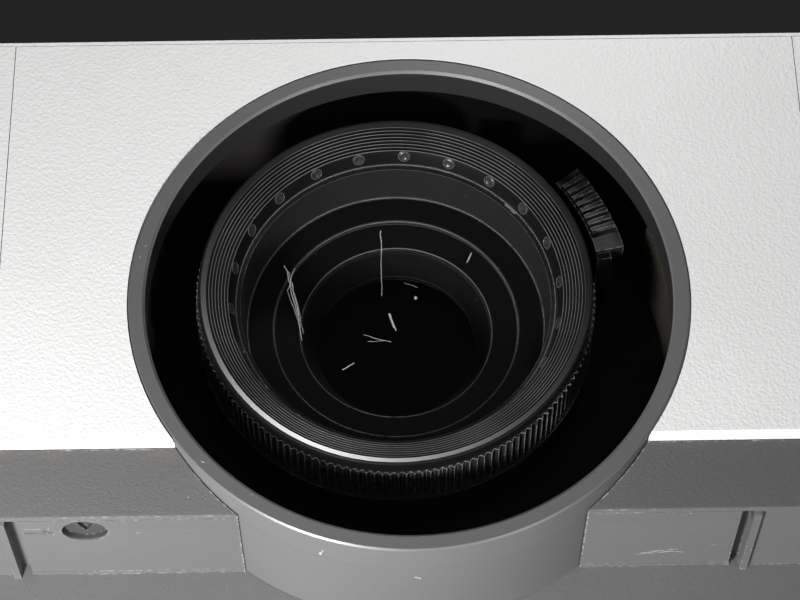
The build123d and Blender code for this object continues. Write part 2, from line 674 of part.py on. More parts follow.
def ledge_cover_left():
    plate = ledge_insert(-1, COVER_GAP)
    x, y = RECESS_X, FRONT + RECESS_SETBACK
    floor = LEDGE_Z + RECESS_DEPTH
    plate -= upright(RECESS_R, x, y, LEDGE_Z - 1, floor)
    half = RECESS_R * 0.62
    keyway = make_face(Polyline((x - half, y - half), (x + half, y - half), (x, y + half), close=True))
    plate -= Pos(0, 0, floor - 0.1) * extrude(keyway, KEYWAY_DEPTH + 0.1)
    return plate + arrow(x - RECESS_R - MARK_GAP / 2 - MARK_LENGTH, y + 0.6)


def ledge_cover_right():
    return ledge_insert(1, COVER_GAP)


# Lens

def lens_turned(points):
    return turned(points, LENS_X, LENS_Z)


def lens_sector(inner, outer, start, end, near, far):
    return sector(inner, outer, start, end, near, far, LENS_X, LENS_Z)


def front_rim():
    """Front ring of the lens: fine steps inside its lip, then a flat with a row of dimples."""
    flat_r, top_r = 39.6, 43.2
    near, flat_y = RIM_SETBACK, RIM_SETBACK + 2.9
    points = [(RIM_R - 0.3, near), (RIM_R, near + 0.3), (RIM_R, near + RIM_THICK),
              (GLASS_R + 0.1, near + RIM_THICK), (GLASS_R + 0.1, flat_y), (flat_r, flat_y)]
    step_r = (top_r - flat_r) / RIDGE_COUNT
    step_y = (flat_y - near - 0.3) / RIDGE_COUNT
    for i in range(RIDGE_COUNT):
        radius = flat_r + step_r * i
        level = flat_y - step_y * (i + 1)
        points += [(radius + step_r * 0.35, level), (radius + step_r, level + step_y * 0.15)]
    points.append((top_r + 0.2, near))
    rim = lens_turned(points)
    ring_r = (GLASS_R + 0.1 + flat_r) / 2
    for i in range(DIMPLE_COUNT):
        turn = math.radians(DIMPLE_START) + 2 * math.pi * i / DIMPLE_COUNT
        x, z = LENS_X + ring_r * math.cos(turn), LENS_Z + ring_r * math.sin(turn)
        rim -= along_y(DIMPLE_R * 0.85, x, z, FRONT + flat_y - 1, FRONT + flat_y + 0.35)
    return rim


def cap_arc(radius, sag, base):
    """Arc of a spherical cap from its rim at (radius, base) to its pole on the axis."""
    sphere = (radius * radius + sag * sag) / (2 * sag)
    turn = math.asin(radius / sphere) / 2
    half_r, half_sag = sphere * math.sin(turn), sphere * (1 - math.cos(turn))
    return ThreePointArc((radius, base), (half_r, base - sag + half_sag), (0, base - sag))


def bulge(radius, sag, edge, setback, back_sag=0.0):
    """A lens element: curved front, cylindrical edge and a hollow or flat back."""
    back = setback + edge
    outline = [
        cap_arc(radius, sag, setback),
        Line((radius, setback), (radius, back)),
        cap_arc(radius, back_sag, back) if back_sag > 0 else Line((radius, back), (0, back)),
        Line((0, back - back_sag), (0, setback - sag)),
    ]
    return Pos(LENS_X, FRONT, LENS_Z) * revolve(make_face(outline), Axis.Y)


GLASS_SETBACK = RIM_SETBACK + 3.0


def front_lens():
    return bulge(GLASS_R, GLASS_SAG, GLASS_EDGE, GLASS_SETBACK, 1.6)


def inner_lenses():
    """Second to fourth groups, seated in the barrel's bore."""
    return Compound([bulge(26.0, 2.0, 4.0, 39.0), bulge(22.0, 2.0, 5.0, 62.0),
                     bulge(24.0, 2.0, 5.0, 100.0)])


def lens_barrel():
    """Barrel with its stepped, flared bore; the front glass sits in a rebate behind the rim."""
    near = RIM_SETBACK + RIM_THICK
    seat = GLASS_SETBACK + GLASS_EDGE
    points = [
        (BARREL_R, near), (BARREL_R, BARREL_STEP), (TUBE_R, BARREL_STEP), (TUBE_R, BARREL_END),
        (24.0, BARREL_END), (24.0, 95.0), (22.0, 95.0), (22.0, 46.0), (26.0, 44.0), (26.0, 36.0),
        (18.7, 36.0), (18.7, 34.6), (19.3, 34.0), (22.0, 29.0), (22.0, 28.0), (22.5, 27.5),
        (28.2, 26.1), (28.2, 25.5), (28.7, 25.1), (34.2, 24.4), (34.6, 24.0),
        (GLASS_R - 1.5, seat), (GLASS_R + 0.1, seat), (GLASS_R + 0.1, near),
    ]
    return lens_turned(points)


FOCUS_NEAR = RIM_SETBACK + RIM_THICK + 0.3
ZOOM_NEAR = FOCUS_NEAR + FOCUS_LENGTH + 0.4


def focus_ring():
    """Knurled ring: fine saw-cut teeth all round but for the window beside the lever."""
    points = []
    for i in range(TEETH):
        for share, radius in ((0.0, FOCUS_R), (0.5, FOCUS_R - TOOTH_DEPTH)):
            turn = 2 * math.pi * (i + share) / TEETH
            points.append((radius * math.cos(turn), radius * math.sin(turn)))
    toothed = make_face(Polyline(*points, close=True)) - Circle(BARREL_R + RUNNING_GAP)
    body = extrude(facing(FOCUS_NEAR) * Pos(LENS_X, LENS_Z) * toothed, FOCUS_LENGTH, dir=(0, 1, 0))
    window = lens_sector(FOCUS_R - TOOTH_DEPTH - 0.5, FOCUS_R + 1, WINDOW_START, WINDOW_END,
                         FOCUS_NEAR - 1, FOCUS_NEAR + FOCUS_LENGTH + 1)
    return body - window


def zoom_ring():
    """Zoom ring, and the finger lever fixed on it: an arm past the focus ring and a ridged pad."""
    far = ZOOM_NEAR + ZOOM_LENGTH
    inner = BARREL_R + RUNNING_GAP
    ring = lens_turned([(inner, ZOOM_NEAR), (ZOOM_R, ZOOM_NEAR), (ZOOM_R, far), (inner, far)])
    web_far = far - 1
    arm = lens_sector(LEVER_INNER, ARM_OUTER, LEVER_START - 2, LEVER_START + 9,
                      LEVER_NEAR + 1, web_far)
    web = lens_sector(ZOOM_R, ARM_OUTER, LEVER_START - 2, LEVER_START + 9,
                      web_far - WEB_LENGTH, web_far)
    pad = lens_sector(LEVER_INNER, LEVER_OUTER, LEVER_START, LEVER_END, LEVER_NEAR,
                      LEVER_NEAR + LEVER_THICK)
    ridges = Part()
    first, last = LEVER_START + 6, LEVER_END - 1
    pitch = (last - first) / LEVER_RIDGES
    for i in range(LEVER_RIDGES):
        at = first + pitch * i
        ridges += lens_sector(LEVER_INNER + 0.5, LEVER_OUTER - 0.4, at, at + pitch * 0.55,
                              LEVER_NEAR - 0.8, LEVER_NEAR + 0.5)
    lever = web + arm + pad + ridges
    return Compound([ring.solid(), lever.solid()])


# Lens shift

PORTAL_NEAR = FRONT + PORTAL_SETBACK
PORTAL_FAR = PORTAL_NEAR + PORTAL_DEPTH
SHIFT_Y = (PORTAL_NEAR + PORTAL_FAR) / 2
CARRIAGE_TOP = RING_Z + SHIFT_Z + FRAME_HALF_HEIGHT
PORTAL_ROOF = CARRIAGE_TOP + PORTAL_GAP + PORTAL_BAR


def vertical_rods(radius, low, high):
    return [upright(radius, x, SHIFT_Y, low, high) for x in (-GUIDE_X, GUIDE_X)]


def lens_mount_frame():
    half = PORTAL_HALF_WIDTH
    frame = block(-half, half, PORTAL_NEAR, PORTAL_FAR, FLOOR, PORTAL_ROOF)
    frame -= block(-half + PORTAL_POST, half - PORTAL_POST, PORTAL_NEAR - 1, PORTAL_FAR + 1,
                   FLOOR + PORTAL_BAR, PORTAL_ROOF - PORTAL_BAR)
    for x in (-half, half):
        way = 1 if x > 0 else -1
        x0, x1 = sorted((x, x + way * PORTAL_FOOT))
        frame += block(x0, x1, PORTAL_NEAR, PORTAL_FAR, FLOOR, FLOOR + 4)
    for rod in vertical_rods(GUIDE_R, FLOOR + 2, PORTAL_ROOF - 2):
        frame -= rod
    return frame


def vertical_guide_rods():
    return Compound(vertical_rods(GUIDE_R, FLOOR + 2, PORTAL_ROOF - 2))


def cross_rods(radius, reach):
    return [along_x(radius, -reach, reach, SHIFT_Y, LENS_Z + z) for z in (-CROSS_ROD_Z, CROSS_ROD_Z)]


def vertical_carriage():
    """Frame that rides up and down on the fixed rods; its sides are joined behind the lens."""
    near, far = SHIFT_Y - FRAME_DEPTH / 2, SHIFT_Y + FRAME_DEPTH / 2
    low, high = LENS_Z - FRAME_HALF_HEIGHT - 2, LENS_Z + FRAME_HALF_HEIGHT
    frame = block(-FRAME_OUTER, FRAME_OUTER, near, far + 4, low, high)
    frame -= block(-FRAME_INNER, FRAME_INNER, near - 1, far + 0.5, low - 1, high + 1)
    window = RIM_R + 9.0
    frame -= block(-window, window, near, far + 5, LENS_Z - window + 14, LENS_Z + window - 14)
    for rod in vertical_rods(GUIDE_R + GUIDE_GAP, low - 1, high + 1):
        frame -= rod
    for rod in cross_rods(GUIDE_R, FRAME_OUTER - 12):
        frame -= rod
    return frame


def horizontal_guide_rods():
    return Compound(cross_rods(GUIDE_R, FRAME_OUTER - 12))


def horizontal_carriage():
    """Plate that carries the lens and crosses the frame on its two rods."""
    near, far = SHIFT_Y - FRAME_DEPTH / 2 + 1, SHIFT_Y + FRAME_DEPTH / 2 - 1
    plate = block(LENS_X - CROSS_PLATE_HALF, LENS_X + CROSS_PLATE_HALF, near, far,
                  LENS_Z - CROSS_PLATE_HALF_HEIGHT, LENS_Z + CROSS_PLATE_HALF_HEIGHT)
    plate -= along_y(TUBE_R, LENS_X, LENS_Z, near - 1, far + 1)
    for rod in cross_rods(GUIDE_R + GUIDE_GAP, CROSS_PLATE_HALF + 10):
        plate -= rod
    return plate


def light_shield():
    """Blackened sheet round the barrel that closes the tunnel at any shift."""
    sheet = RectangleRounded(2 * SHIELD_HALF_WIDTH, 2 * SHIELD_HALF_HEIGHT, 8) - Circle(TUBE_R)
    place = facing(SHIELD_SETBACK) * Pos(LENS_X, LENS_Z) * sheet
    return extrude(place, SHIELD_THICK, dir=(0, 1, 0))


def dial(x):
    """Notched dial on a short shaft that drops through the tray."""
    floor = COVER_TOP - WALL - TRAY_DROP
    y = FRONT + TRAY_NEAR + TRAY_DEPTH / 2
    wheel = upright(DIAL_R, x, y, floor + 0.3, floor + 0.3 + DIAL_THICK)
    for i in range(DIAL_NOTCHES):
        turn = 2 * math.pi * i / DIAL_NOTCHES
        wheel -= upright(1.0, x + DIAL_R * math.cos(turn), y + DIAL_R * math.sin(turn),
                         floor, floor + DIAL_THICK + 1)
    wheel += upright(2.9, x, y, floor - WALL - 1.5, floor + 1)
    wheel -= block(x - 0.8, x + 0.8, y - DIAL_R + 3, y + DIAL_R - 3,
                   floor + DIAL_THICK - 0.7, floor + DIAL_THICK + 1)
    return wheel


def door(area, pull):
    """Flush door with a round hinge edge, its pins and a finger scoop at the front."""
    x0, x1, y0, y1 = area
    axis_y, axis_z = y1 - DOOR_GAP - HINGE_R, COVER_TOP - HINGE_R
    plate = block(x0 + DOOR_GAP, x1 - DOOR_GAP, y0 + DOOR_GAP, axis_y, COVER_TOP - WALL, COVER_TOP)
    plate += along_x(HINGE_R, x0 + DOOR_GAP, x1 - DOOR_GAP, axis_y, axis_z)
    plate += along_x(PIN_R, x0 - PIN_REACH, x1 + PIN_REACH, axis_y, axis_z)
    middle = (x0 + x1) / 2
    plate -= Pos(middle, y0 + DOOR_GAP, COVER_TOP + 1) * Box(pull, 6, 3.6)
    return plate


def shift_dial_door():
    return door(SHIFT_DOOR, 24.0)


def lamp_door():
    return door(LAMP_DOOR, 34.0)


# Key panel

def key_places():
    """Key name to centre: a cross of five keys and a row of three."""
    x, y, step = KEY_PANEL_X, KEY_PANEL_Y, KEY_SPACING
    cross = x - 26
    return {
        "enter_key": (cross, y), "up_key": (cross, y + step), "down_key": (cross, y - step),
        "left_key": (cross - step, y), "right_key": (cross + step, y),
        "power_key": (x + 44, y + step), "input_key": (x + 44, y), "menu_key": (x + 44, y - step),
    }


def lamp_lens_places():
    return [(KEY_PANEL_X + 14, KEY_PANEL_Y + step) for step in (-9.0, 0.0, 9.0)]


def key_panel():
    half_w, half_d = KEY_PANEL_WIDTH / 2 - COVER_GAP, KEY_PANEL_DEPTH / 2 - COVER_GAP
    plate = block(KEY_PANEL_X - half_w, KEY_PANEL_X + half_w, KEY_PANEL_Y - half_d,
                  KEY_PANEL_Y + half_d, COVER_TOP - WALL, COVER_TOP)
    # guide collars under the plate, joined by a key frame
    plate += block(KEY_PANEL_X - half_w + 3, KEY_PANEL_X + half_w - 3, KEY_PANEL_Y - half_d + 3,
                   KEY_PANEL_Y + half_d - 3, COVER_TOP - WALL - 2, COVER_TOP - WALL)
    for x, y in key_places().values():
        plate -= upright(KEY_R + KEY_GAP, x, y, 0, COVER_TOP + 1)
    for x, y in lamp_lens_places():
        plate -= upright(LAMP_LENS_R + 0.1, x, y, 0, COVER_TOP + 1)
    return plate


def key(x, y):
    """Domed key cap on its plunger, held from below by a collar."""
    top = COVER_TOP + KEY_PROUD
    cap = upright(KEY_R, x, y, COVER_TOP - WALL - 3, top)
    cap = fillet(cap.edges().sort_by(Axis.Z)[-1], 0.6)
    collar = upright(KEY_R + 1.2, x, y, COVER_TOP - WALL - 4.5, COVER_TOP - WALL - 2.3)
    return cap + collar


def status_lamps():
    lenses = []
    for x, y in lamp_lens_places():
        lens = upright(LAMP_LENS_R, x, y, COVER_TOP - WALL - 2, COVER_TOP + 0.4)
        lenses.append(fillet(lens.edges().sort_by(Axis.Z)[-1], 0.35))
    return Compound(lenses)


# Light engine, lamp and electrics

def optical_engine():
    """Closed magnesium box behind the lens, with an arm that takes the lamp's light."""
    near = FRONT + BARREL_END + ENGINE_GAP
    middle, far = near + ENGINE_DEPTH, LAMP_Y + 17
    arm_x = LAMP_X + LAMP_BAY_SIZE / 2 + 1
    low, block_top, arm_top = FLOOR + ENGINE_LIFT, RING_Z + 45, RING_Z + 25
    body = block(-ENGINE_LEFT, ENGINE_RIGHT, near, middle, low, block_top)
    body = fillet(body.edges().filter_by(Axis.Z), 6)
    arm = block(arm_x, ENGINE_RIGHT, middle - 4, far, low, arm_top)
    body += fillet(arm.edges().filter_by(Axis.Z), 3)
    body -= along_y(26.0 + SHIFT_X, 0, RING_Z, near - 1, near + 20)
    for i in range(6):
        x = -40 + i * 14.0
        body += block(x, x + 3, middle + 2, far - 4, arm_top - 0.5, arm_top + 7)
    for x, y in ((-46, near + 12), (50, near + 12), (-50, far - 8), (50, far - 10)):
        body += upright(7, x, y, FLOOR, low + 1)
    return body


def lamp_housing():
    half = LAMP_BAY_SIZE / 2
    top = FLOOR + LAMP_BAY_HEIGHT
    bay = block(LAMP_X - half, LAMP_X + half, LAMP_Y - half, LAMP_Y + half, FLOOR, top)
    inner = half - LAMP_WALL
    bay -= block(LAMP_X - inner, LAMP_X + inner, LAMP_Y - inner, LAMP_Y + inner, FLOOR + LAMP_WALL,
                 top + 1)
    level = FLOOR + LAMP_MOUTH_HEIGHT
    bay -= block(LAMP_X + inner - 1, LAMP_X + half + 1, LAMP_Y - 32, LAMP_Y + 32, level - 32,
                 level + 32)
    for i in range(6):
        z = FLOOR + 24 + i * 12.0
        bay -= block(LAMP_X - half - 1, LAMP_X - inner + 1, LAMP_Y - 34, LAMP_Y + 34, z, z + 5)
    return bay


def lamp_module():
    """Lamp cartridge with its reflector mouth, fixing screws and a folding-wire style handle."""
    half = LAMP_BODY / 2
    low = FLOOR + LAMP_WALL + 0.2
    top = low + LAMP_BODY_HEIGHT
    body = block(LAMP_X - half, LAMP_X + half, LAMP_Y - half, LAMP_Y + half, low, top)
    body = fillet(body.edges().filter_by(Axis.Z), 5)
    level = FLOOR + LAMP_MOUTH_HEIGHT
    mouth = Pos(LAMP_X + half, LAMP_Y, level) * Rot(0, -90, 0)
    body -= mouth * Cone(27, 8, 46, align=(Align.CENTER, Align.CENTER, Align.MIN))
    body += along_x(5.0, LAMP_X - 4, LAMP_X + half - 16, LAMP_Y, level)
    for y in (LAMP_Y - 24, LAMP_Y + 24):
        body += block(LAMP_X - 4, LAMP_X + 4, y - 3, y + 3, top - 1, top + 14)
    body += block(LAMP_X - 4, LAMP_X + 4, LAMP_Y - 27, LAMP_Y + 27, top + 10, top + 16)
    for x in (LAMP_X - half + 9, LAMP_X + half - 9):
        body += upright(4.0, x, LAMP_Y, top - 1, top + 3)
    return body


def lamp_ballast():
    """Lamp driver on its board, with a finned heat sink."""
    x0, y1 = -SIDE + 38, LAMP_Y - LAMP_BAY_SIZE / 2 - 13
    x1, y0 = x0 + 100, y1 - 60
    low = FLOOR + 6
    unit = block(x0, x1, y0, y1, low, low + 2)
    unit += block(x0 + 4, x1 - 4, y0 + 4, y1 - 4, low + 2, low + 24)
    for x in (x0 + 5, x1 - 5):
        for y in (y0 + 5, y1 - 5):
            unit += upright(4, x, y, FLOOR, low + 1)
    for i in range(6):
        x = x0 + 15 + i * 14.0
        unit += block(x, x + 3, y0 + 10, y1 - 10, low + 23.5, low + 38)
    return unit


def power_supply():
    """Mains supply on its board, under a folded cage with vent slots."""
    x0, x1 = PORTAL_HALF_WIDTH + PORTAL_FOOT + SUPPLY_GAP, SIDE - SUPPLY_FROM_SIDE
    y0, y1 = PORTAL_NEAR, REAR - BOARD_DEPTH - SUPPLY_FROM_BOARD
    low, top = FLOOR + 10, FLOOR + 70
    pitch = (y1 - y0 - 18) / SUPPLY_SLOTS
    cage = block(x0, x1, y0, y1, low, top) - block(x0 + 1.5, x1 - 1.5, y0 - 1, y1 + 1, low + 1.5,
                                                  top - 1.5)
    for i in range(SUPPLY_SLOTS):
        y = y0 + 10 + i * pitch
        cage -= block(x0 + 12, x1 - 12, y, y + 6, top - 3, top + 1)
    cage += block(x0 + 8, x1 - 8, y0 + 6, y1 - 6, low + 1, low + 5)
    cage += block(x0 + 14, x0 + 46, y0 + 20, y0 + 60, low + 4, low + 44)
    cage += block(x0 + 56, x0 + 62, y0 + 14, y1 - 14, low + 4, low + 50)
    cage += upright(12, x1 - 24, y1 - 34, low + 4, low + 46)
    for x, y in ((x0 + 5, y0 + 5), (x1 - 5, y0 + 5), (x0 + 5, y1 - 5), (x1 - 5, y1 - 5)):
        cage += upright(4, x, y, FLOOR, low + 0.5)
    return cage


def main_board():
    """Signal board behind the sockets, with its processor's heat sink, on four posts."""
    x0, x1 = POCKET_X0 + 2, POCKET_X1 + 4
    y0, y1 = REAR - BOARD_DEPTH, REAR - POCKET_DROP - WALL - 1
    low = BOARD_TOP - BOARD_THICK
    board = block(x0, x1, y0, y1, low, BOARD_TOP)
    sink_x, sink_y = x1 - 54, y0 + 30
    board += block(sink_x - 22, sink_x + 22, sink_y - 22, sink_y + 22, BOARD_TOP - 0.2, BOARD_TOP + 5)
    for i in range(SINK_FINS):
        x = sink_x - 20 + i * 5.2
        board += block(x, x + 1.6, sink_y - 22, sink_y + 22, BOARD_TOP + 4.5, BOARD_TOP + 20)
    for x in (x0 + 8, x1 - 8):
        for y in (y0 + 8, y1 - 8):
            board += upright(3.5, x, y, FLOOR, low + 0.3)
    return board


def port_block(x, width, height, depth=14.0):
    """A socket's body, its face just short of the rear panel's pocket."""
    face = REAR - POCKET_DROP + 2.0
    return block(x, x + width, face - depth, face, BOARD_TOP, BOARD_TOP + height)


def port_mouth(x, width, height, wall, depth):
    face = REAR - POCKET_DROP + 2.0
    return block(x + wall, x + width - wall, face - depth, face + 1, BOARD_TOP + wall,
                 BOARD_TOP + height - wall)


def video_inputs():
    """Two digital and two analogue video sockets."""
    pieces = []
    for x, width, height in port_places()["hdmi"]:
        pieces.append(port_block(x, width, height) - port_mouth(x, width, height, 0.6, 10.0))
    for x, width, height in port_places()["vga"]:
        pieces.append(d_socket(x, width, height))
    return Compound(pieces)


def d_socket(x, width, height):
    """Fifteen or nine way socket: flange, tapered shell and two jack posts."""
    face = REAR - POCKET_DROP + 2.0
    body = block(x, x + width, face - 14, face - 1.2, BOARD_TOP, BOARD_TOP + height)
    middle, level = x + width / 2, BOARD_TOP + height / 2
    shell = make_face(Polyline((-8.2, 3.8), (8.2, 3.8), (7.0, -3.8), (-7.0, -3.8), close=True))
    place = Plane(origin=(middle, face - 2, level), x_dir=(1, 0, 0), z_dir=(0, -1, 0))
    body += extrude(place * shell, 7.0, dir=(0, 1, 0))
    for way in (-1, 1):
        body += along_y(2.2, middle + way * 12.5, level, face - 2, face + 5)
    return body


def speaker():
    """Oval speaker behind the rear slots: flange, tapered basket and magnet."""
    face = REAR - WALL - 0.2
    flange = block(SPEAKER_X - 46, SPEAKER_X + 46, face - 3, face, SPEAKER_Z - 18, SPEAKER_Z + 18)
    mouth = Plane(origin=(SPEAKER_X, face - 3, SPEAKER_Z), x_dir=(1, 0, 0), z_dir=(0, -1, 0))
    back = Plane(origin=(SPEAKER_X, face - 16, SPEAKER_Z), x_dir=(1, 0, 0), z_dir=(0, -1, 0))
    basket = loft([mouth * Ellipse(42, 16), back * Ellipse(15, 12)])
    magnet = along_y(14, SPEAKER_X, SPEAKER_Z, face - 26, face - 15.5)
    bowl = Plane(origin=(SPEAKER_X, face + 1, SPEAKER_Z), x_dir=(1, 0, 0), z_dir=(0, -1, 0))
    cone = loft([bowl * Ellipse(41, 15), back.offset(-4) * Ellipse(9, 7)])
    return flange + basket + magnet - cone


def control_ports():
    """Network, service and serial sockets and two audio jacks."""
    pieces = []
    for x, width, height in port_places()["lan"] + port_places()["usb"]:
        pieces.append(port_block(x, width, height) - port_mouth(x, width, height, 1.0, 11.0))
    for x, width, height in port_places()["serial"]:
        pieces.append(d_socket(x, width, height))
    for x, width, height in port_places()["jack"]:
        level = BOARD_TOP + height / 2
        face = REAR - POCKET_DROP + 2.0
        jack = port_block(x, width, height)
        jack += along_y(3.0, x + width / 2, level, face - 1, face + 2.5)
        pieces.append(jack - along_y(1.8, x + width / 2, level, face - 10, face + 4))
    return Compound(pieces)


def ac_inlet():
    """Three-pin mains inlet with cut upper corners to its mouth."""
    half_w, half_h = INLET_WIDTH / 2, INLET_HEIGHT / 2
    face = REAR - 0.2
    body = block(INLET_X - half_w + 2.2, INLET_X + half_w - 2.2, face - INLET_DEPTH, face,
                 INLET_Z - half_h + 2.2, INLET_Z + half_h - 2.2)
    mouth_w, mouth_h = INLET_MOUTH_WIDTH / 2, INLET_MOUTH_HEIGHT / 2
    cut = 5.0
    outline = Polyline((-mouth_w, -mouth_h), (mouth_w, -mouth_h), (mouth_w, mouth_h - cut),
                       (mouth_w - cut, mouth_h), (cut - mouth_w, mouth_h),
                       (-mouth_w, mouth_h - cut), close=True)
    place = Plane(origin=(INLET_X, face - INLET_MOUTH_DEPTH, INLET_Z), x_dir=(1, 0, 0),
                  z_dir=(0, -1, 0))
    body -= extrude(place * make_face(outline), INLET_MOUTH_DEPTH + 1, dir=(0, 1, 0))
    bottom = face - INLET_MOUTH_DEPTH
    for x, z in ((-7.0, -1.5), (0.0, 2.5), (7.0, -1.5)):
        body += block(INLET_X + x - 1, INLET_X + x + 1, bottom - 0.5, bottom + 10,
                      INLET_Z + z - 2, INLET_Z + z + 2)
    collar = block(INLET_X - half_w, INLET_X + half_w, REAR - WALL - 2.5, REAR - WALL - 0.2,
                   INLET_Z - half_h, INLET_Z + half_h)
    collar -= block(INLET_X - half_w + 2.5, INLET_X + half_w - 2.5, REAR - WALL - 4, REAR,
                    INLET_Z - half_h + 2.5, INLET_Z + half_h - 2.5)
    return body + collar


def power_switch():
    """Rocker whose face is two shallow flats meeting at the pivot line."""
    half_w, half_h = SWITCH_WIDTH / 2, SWITCH_HEIGHT / 2
    axis_y = REAR - SWITCH_PIVOT
    points = [(-6.0, -5.0), (0.3, -half_h), (1.0, -half_h), (2.4, 0.0), (4.2, half_h),
              (0.3, half_h), (-6.0, 5.0)]
    profile = make_face(Polyline(*points, close=True))
    rocker = extrude(Plane.YZ * profile, half_w, both=True)
    rocker &= Rot(0, 90, 0) * Cylinder(half_h + 0.4, SWITCH_WIDTH + 1)
    rocker = Pos(SWITCH_X, axis_y, INLET_Z) * rocker
    return rocker + along_x(1.0, SWITCH_X - half_w - 1.2, SWITCH_X + half_w + 1.2, axis_y, INLET_Z)


# Air path

def filter_cassette():
    """Pull-out intake grille and the frame behind it that holds the foam."""
    half_l, half_h = FILTER_LENGTH / 2 - COVER_GAP, FILTER_HEIGHT / 2 - COVER_GAP
    face = block(-SIDE, -SIDE + FILTER_FACE, FILTER_Y - half_l, FILTER_Y + half_l,
                 FILTER_Z - half_h, FILTER_Z + half_h)
    face += block(-SIDE + FILTER_FACE - 0.5, -SIDE + FILTER_FACE + FILTER_DEPTH, FILTER_Y - half_l,
                  FILTER_Y + half_l, FILTER_Z - half_h, FILTER_Z + half_h)
    face -= block(-SIDE + FILTER_FACE, -SIDE + FILTER_FACE + FILTER_DEPTH + 1,
                  FILTER_Y - half_l + 4, FILTER_Y + half_l - 4, FILTER_Z - half_h + 4,
                  FILTER_Z + half_h - 4)
    pitch = (FILTER_HEIGHT - 16) / FILTER_SLATS
    for i in range(FILTER_SLATS):
        z = FILTER_Z - FILTER_HEIGHT / 2 + 8 + pitch * i
        face -= block(-SIDE - 1, -SIDE + FILTER_FACE + 1, FILTER_Y - half_l + 8,
                      FILTER_Y + half_l - 8, z + pitch * 0.25, z + pitch * 0.8)
    return face


def filter_foam():
    half_l, half_h = FILTER_LENGTH / 2 - COVER_GAP - 4, FILTER_HEIGHT / 2 - COVER_GAP - 4
    return block(-SIDE + FILTER_FACE, -SIDE + FILTER_FACE + FILTER_DEPTH - 3, FILTER_Y - half_l,
                 FILTER_Y + half_l, FILTER_Z - half_h, FILTER_Z + half_h)


FAN_NEAR = FRONT + FAN_SETBACK
FAN_FAR = FAN_NEAR + FAN_DEPTH


def exhaust_fan_frame():
    half = FAN_SIZE / 2
    frame = block(FAN_X - half, FAN_X + half, FAN_NEAR, FAN_FAR, FAN_Z - half, FAN_Z + half)
    frame = fillet(frame.edges().filter_by(Axis.Y), 4)
    frame -= along_y(FAN_BORE_R, FAN_X, FAN_Z, FAN_NEAR - 1, FAN_FAR + 1)
    for angle in (45, 135, 225, 315):
        strut = Pos(0, FAN_FAR - 1.5, 0) * Rot(0, -angle, 0) * Pos(FAN_BORE_R / 2 + 6, 0, 0)
        frame += Pos(FAN_X, 0, FAN_Z) * strut * Box(FAN_BORE_R - 8, 3, 4)
        reach = half - 6
        x = FAN_X + reach * math.copysign(1, math.cos(math.radians(angle)))
        z = FAN_Z + reach * math.copysign(1, math.sin(math.radians(angle)))
        frame -= along_y(2.2, x, z, FAN_NEAR - 1, FAN_FAR + 1)
    frame += along_y(HUB_R, FAN_X, FAN_Z, FAN_FAR - 3, FAN_FAR)
    frame += along_y(2.0, FAN_X, FAN_Z, FAN_FAR - 10, FAN_FAR - 1)
    return frame


def exhaust_fan_rotor():
    """Hub with seven twisted blades, each lofted from a steep root to a flatter tip."""
    rotor = along_y(HUB_R, FAN_X, FAN_Z, FAN_NEAR + 2, FAN_FAR - 4)
    rotor = fillet(rotor.edges().sort_by(Axis.Y)[0], 2)
    rotor -= along_y(2.0 + RUNNING_GAP, FAN_X, FAN_Z, FAN_FAR - 12, FAN_FAR)
    middle = (FAN_NEAR + FAN_FAR) / 2 - 1
    for i in range(BLADE_COUNT):
        turn = Rot(0, 360 / BLADE_COUNT * i, 0)
        root = Plane(origin=(HUB_R - 1.5, 0, 0), x_dir=(0, 1, 0), z_dir=(1, 0, 0))
        tip = Plane(origin=(BLADE_R, 0, 0), x_dir=(0, 1, 0), z_dir=(1, 0, 0))
        blade = loft([root * Rot(0, 0, 42) * Rectangle(17, 1.6),
                      tip * Rot(0, 0, 60) * Rectangle(26, 1.2)])
        rotor += Pos(FAN_X, middle, FAN_Z) * turn * blade
    return rotor


# Feet and fixings

def foot_stem(x, y):
    """Threaded leg of an adjuster, its end in the pad."""
    return upright(STEM_R, x, y, FOOT_HEIGHT - 5, BOTTOM + STEM_LENGTH)


def foot_pad(x, y):
    """Scalloped adjuster pad with a rounded lower edge, turning on the leg's end."""
    pad = upright(FOOT_R, x, y, 0, FOOT_HEIGHT - 0.3)
    pad = fillet(pad.edges().sort_by(Axis.Z)[0], 1.5)
    pad -= upright(STEM_R + STEM_GAP, x, y, FOOT_HEIGHT - 5.2, FOOT_HEIGHT)
    for i in range(12):
        turn = 2 * math.pi * i / 12
        pad -= upright(1.8, x + (FOOT_R + 0.9) * math.cos(turn), y + (FOOT_R + 0.9) * math.sin(turn),
                       3.0, FOOT_HEIGHT)
    return pad


def rear_feet():
    pads = []
    for x, y in foot_places(REAR_FOOT_SETBACK):
        pad = upright(FOOT_R - 1, x, y, 0, BOTTOM)
        pads.append(fillet(pad.edges().sort_by(Axis.Z)[0], 1.5))
    return Compound(pads)


def ceiling_inserts():
    inserts = []
    for x, y in ceiling_places():
        insert = upright(CEILING_INSERT_R, x, y, BOTTOM + 0.2, BOTTOM + CEILING_INSERT_LENGTH)
        inserts.append(insert - upright(INSERT_BORE_R, x, y, BOTTOM, BOTTOM + CEILING_INSERT_LENGTH - 1))
    return Compound(inserts)


def case_screws():
    screws = []
    for x, y in screw_places():
        head = upright(SCREW_HEAD_R, x, y, BOTTOM + 0.2, BOTTOM + WALL - 0.8)
        head += upright(SCREW_R, x, y, BOTTOM + 1, BOTTOM + SCREW_LENGTH)
        head -= block(x - 0.5, x + 0.5, y - 2, y + 2, BOTTOM, BOTTOM + 1)
        head -= block(x - 2, x + 2, y - 0.5, y + 0.5, BOTTOM, BOTTOM + 1)
        screws.append(head)
    return Compound(screws)


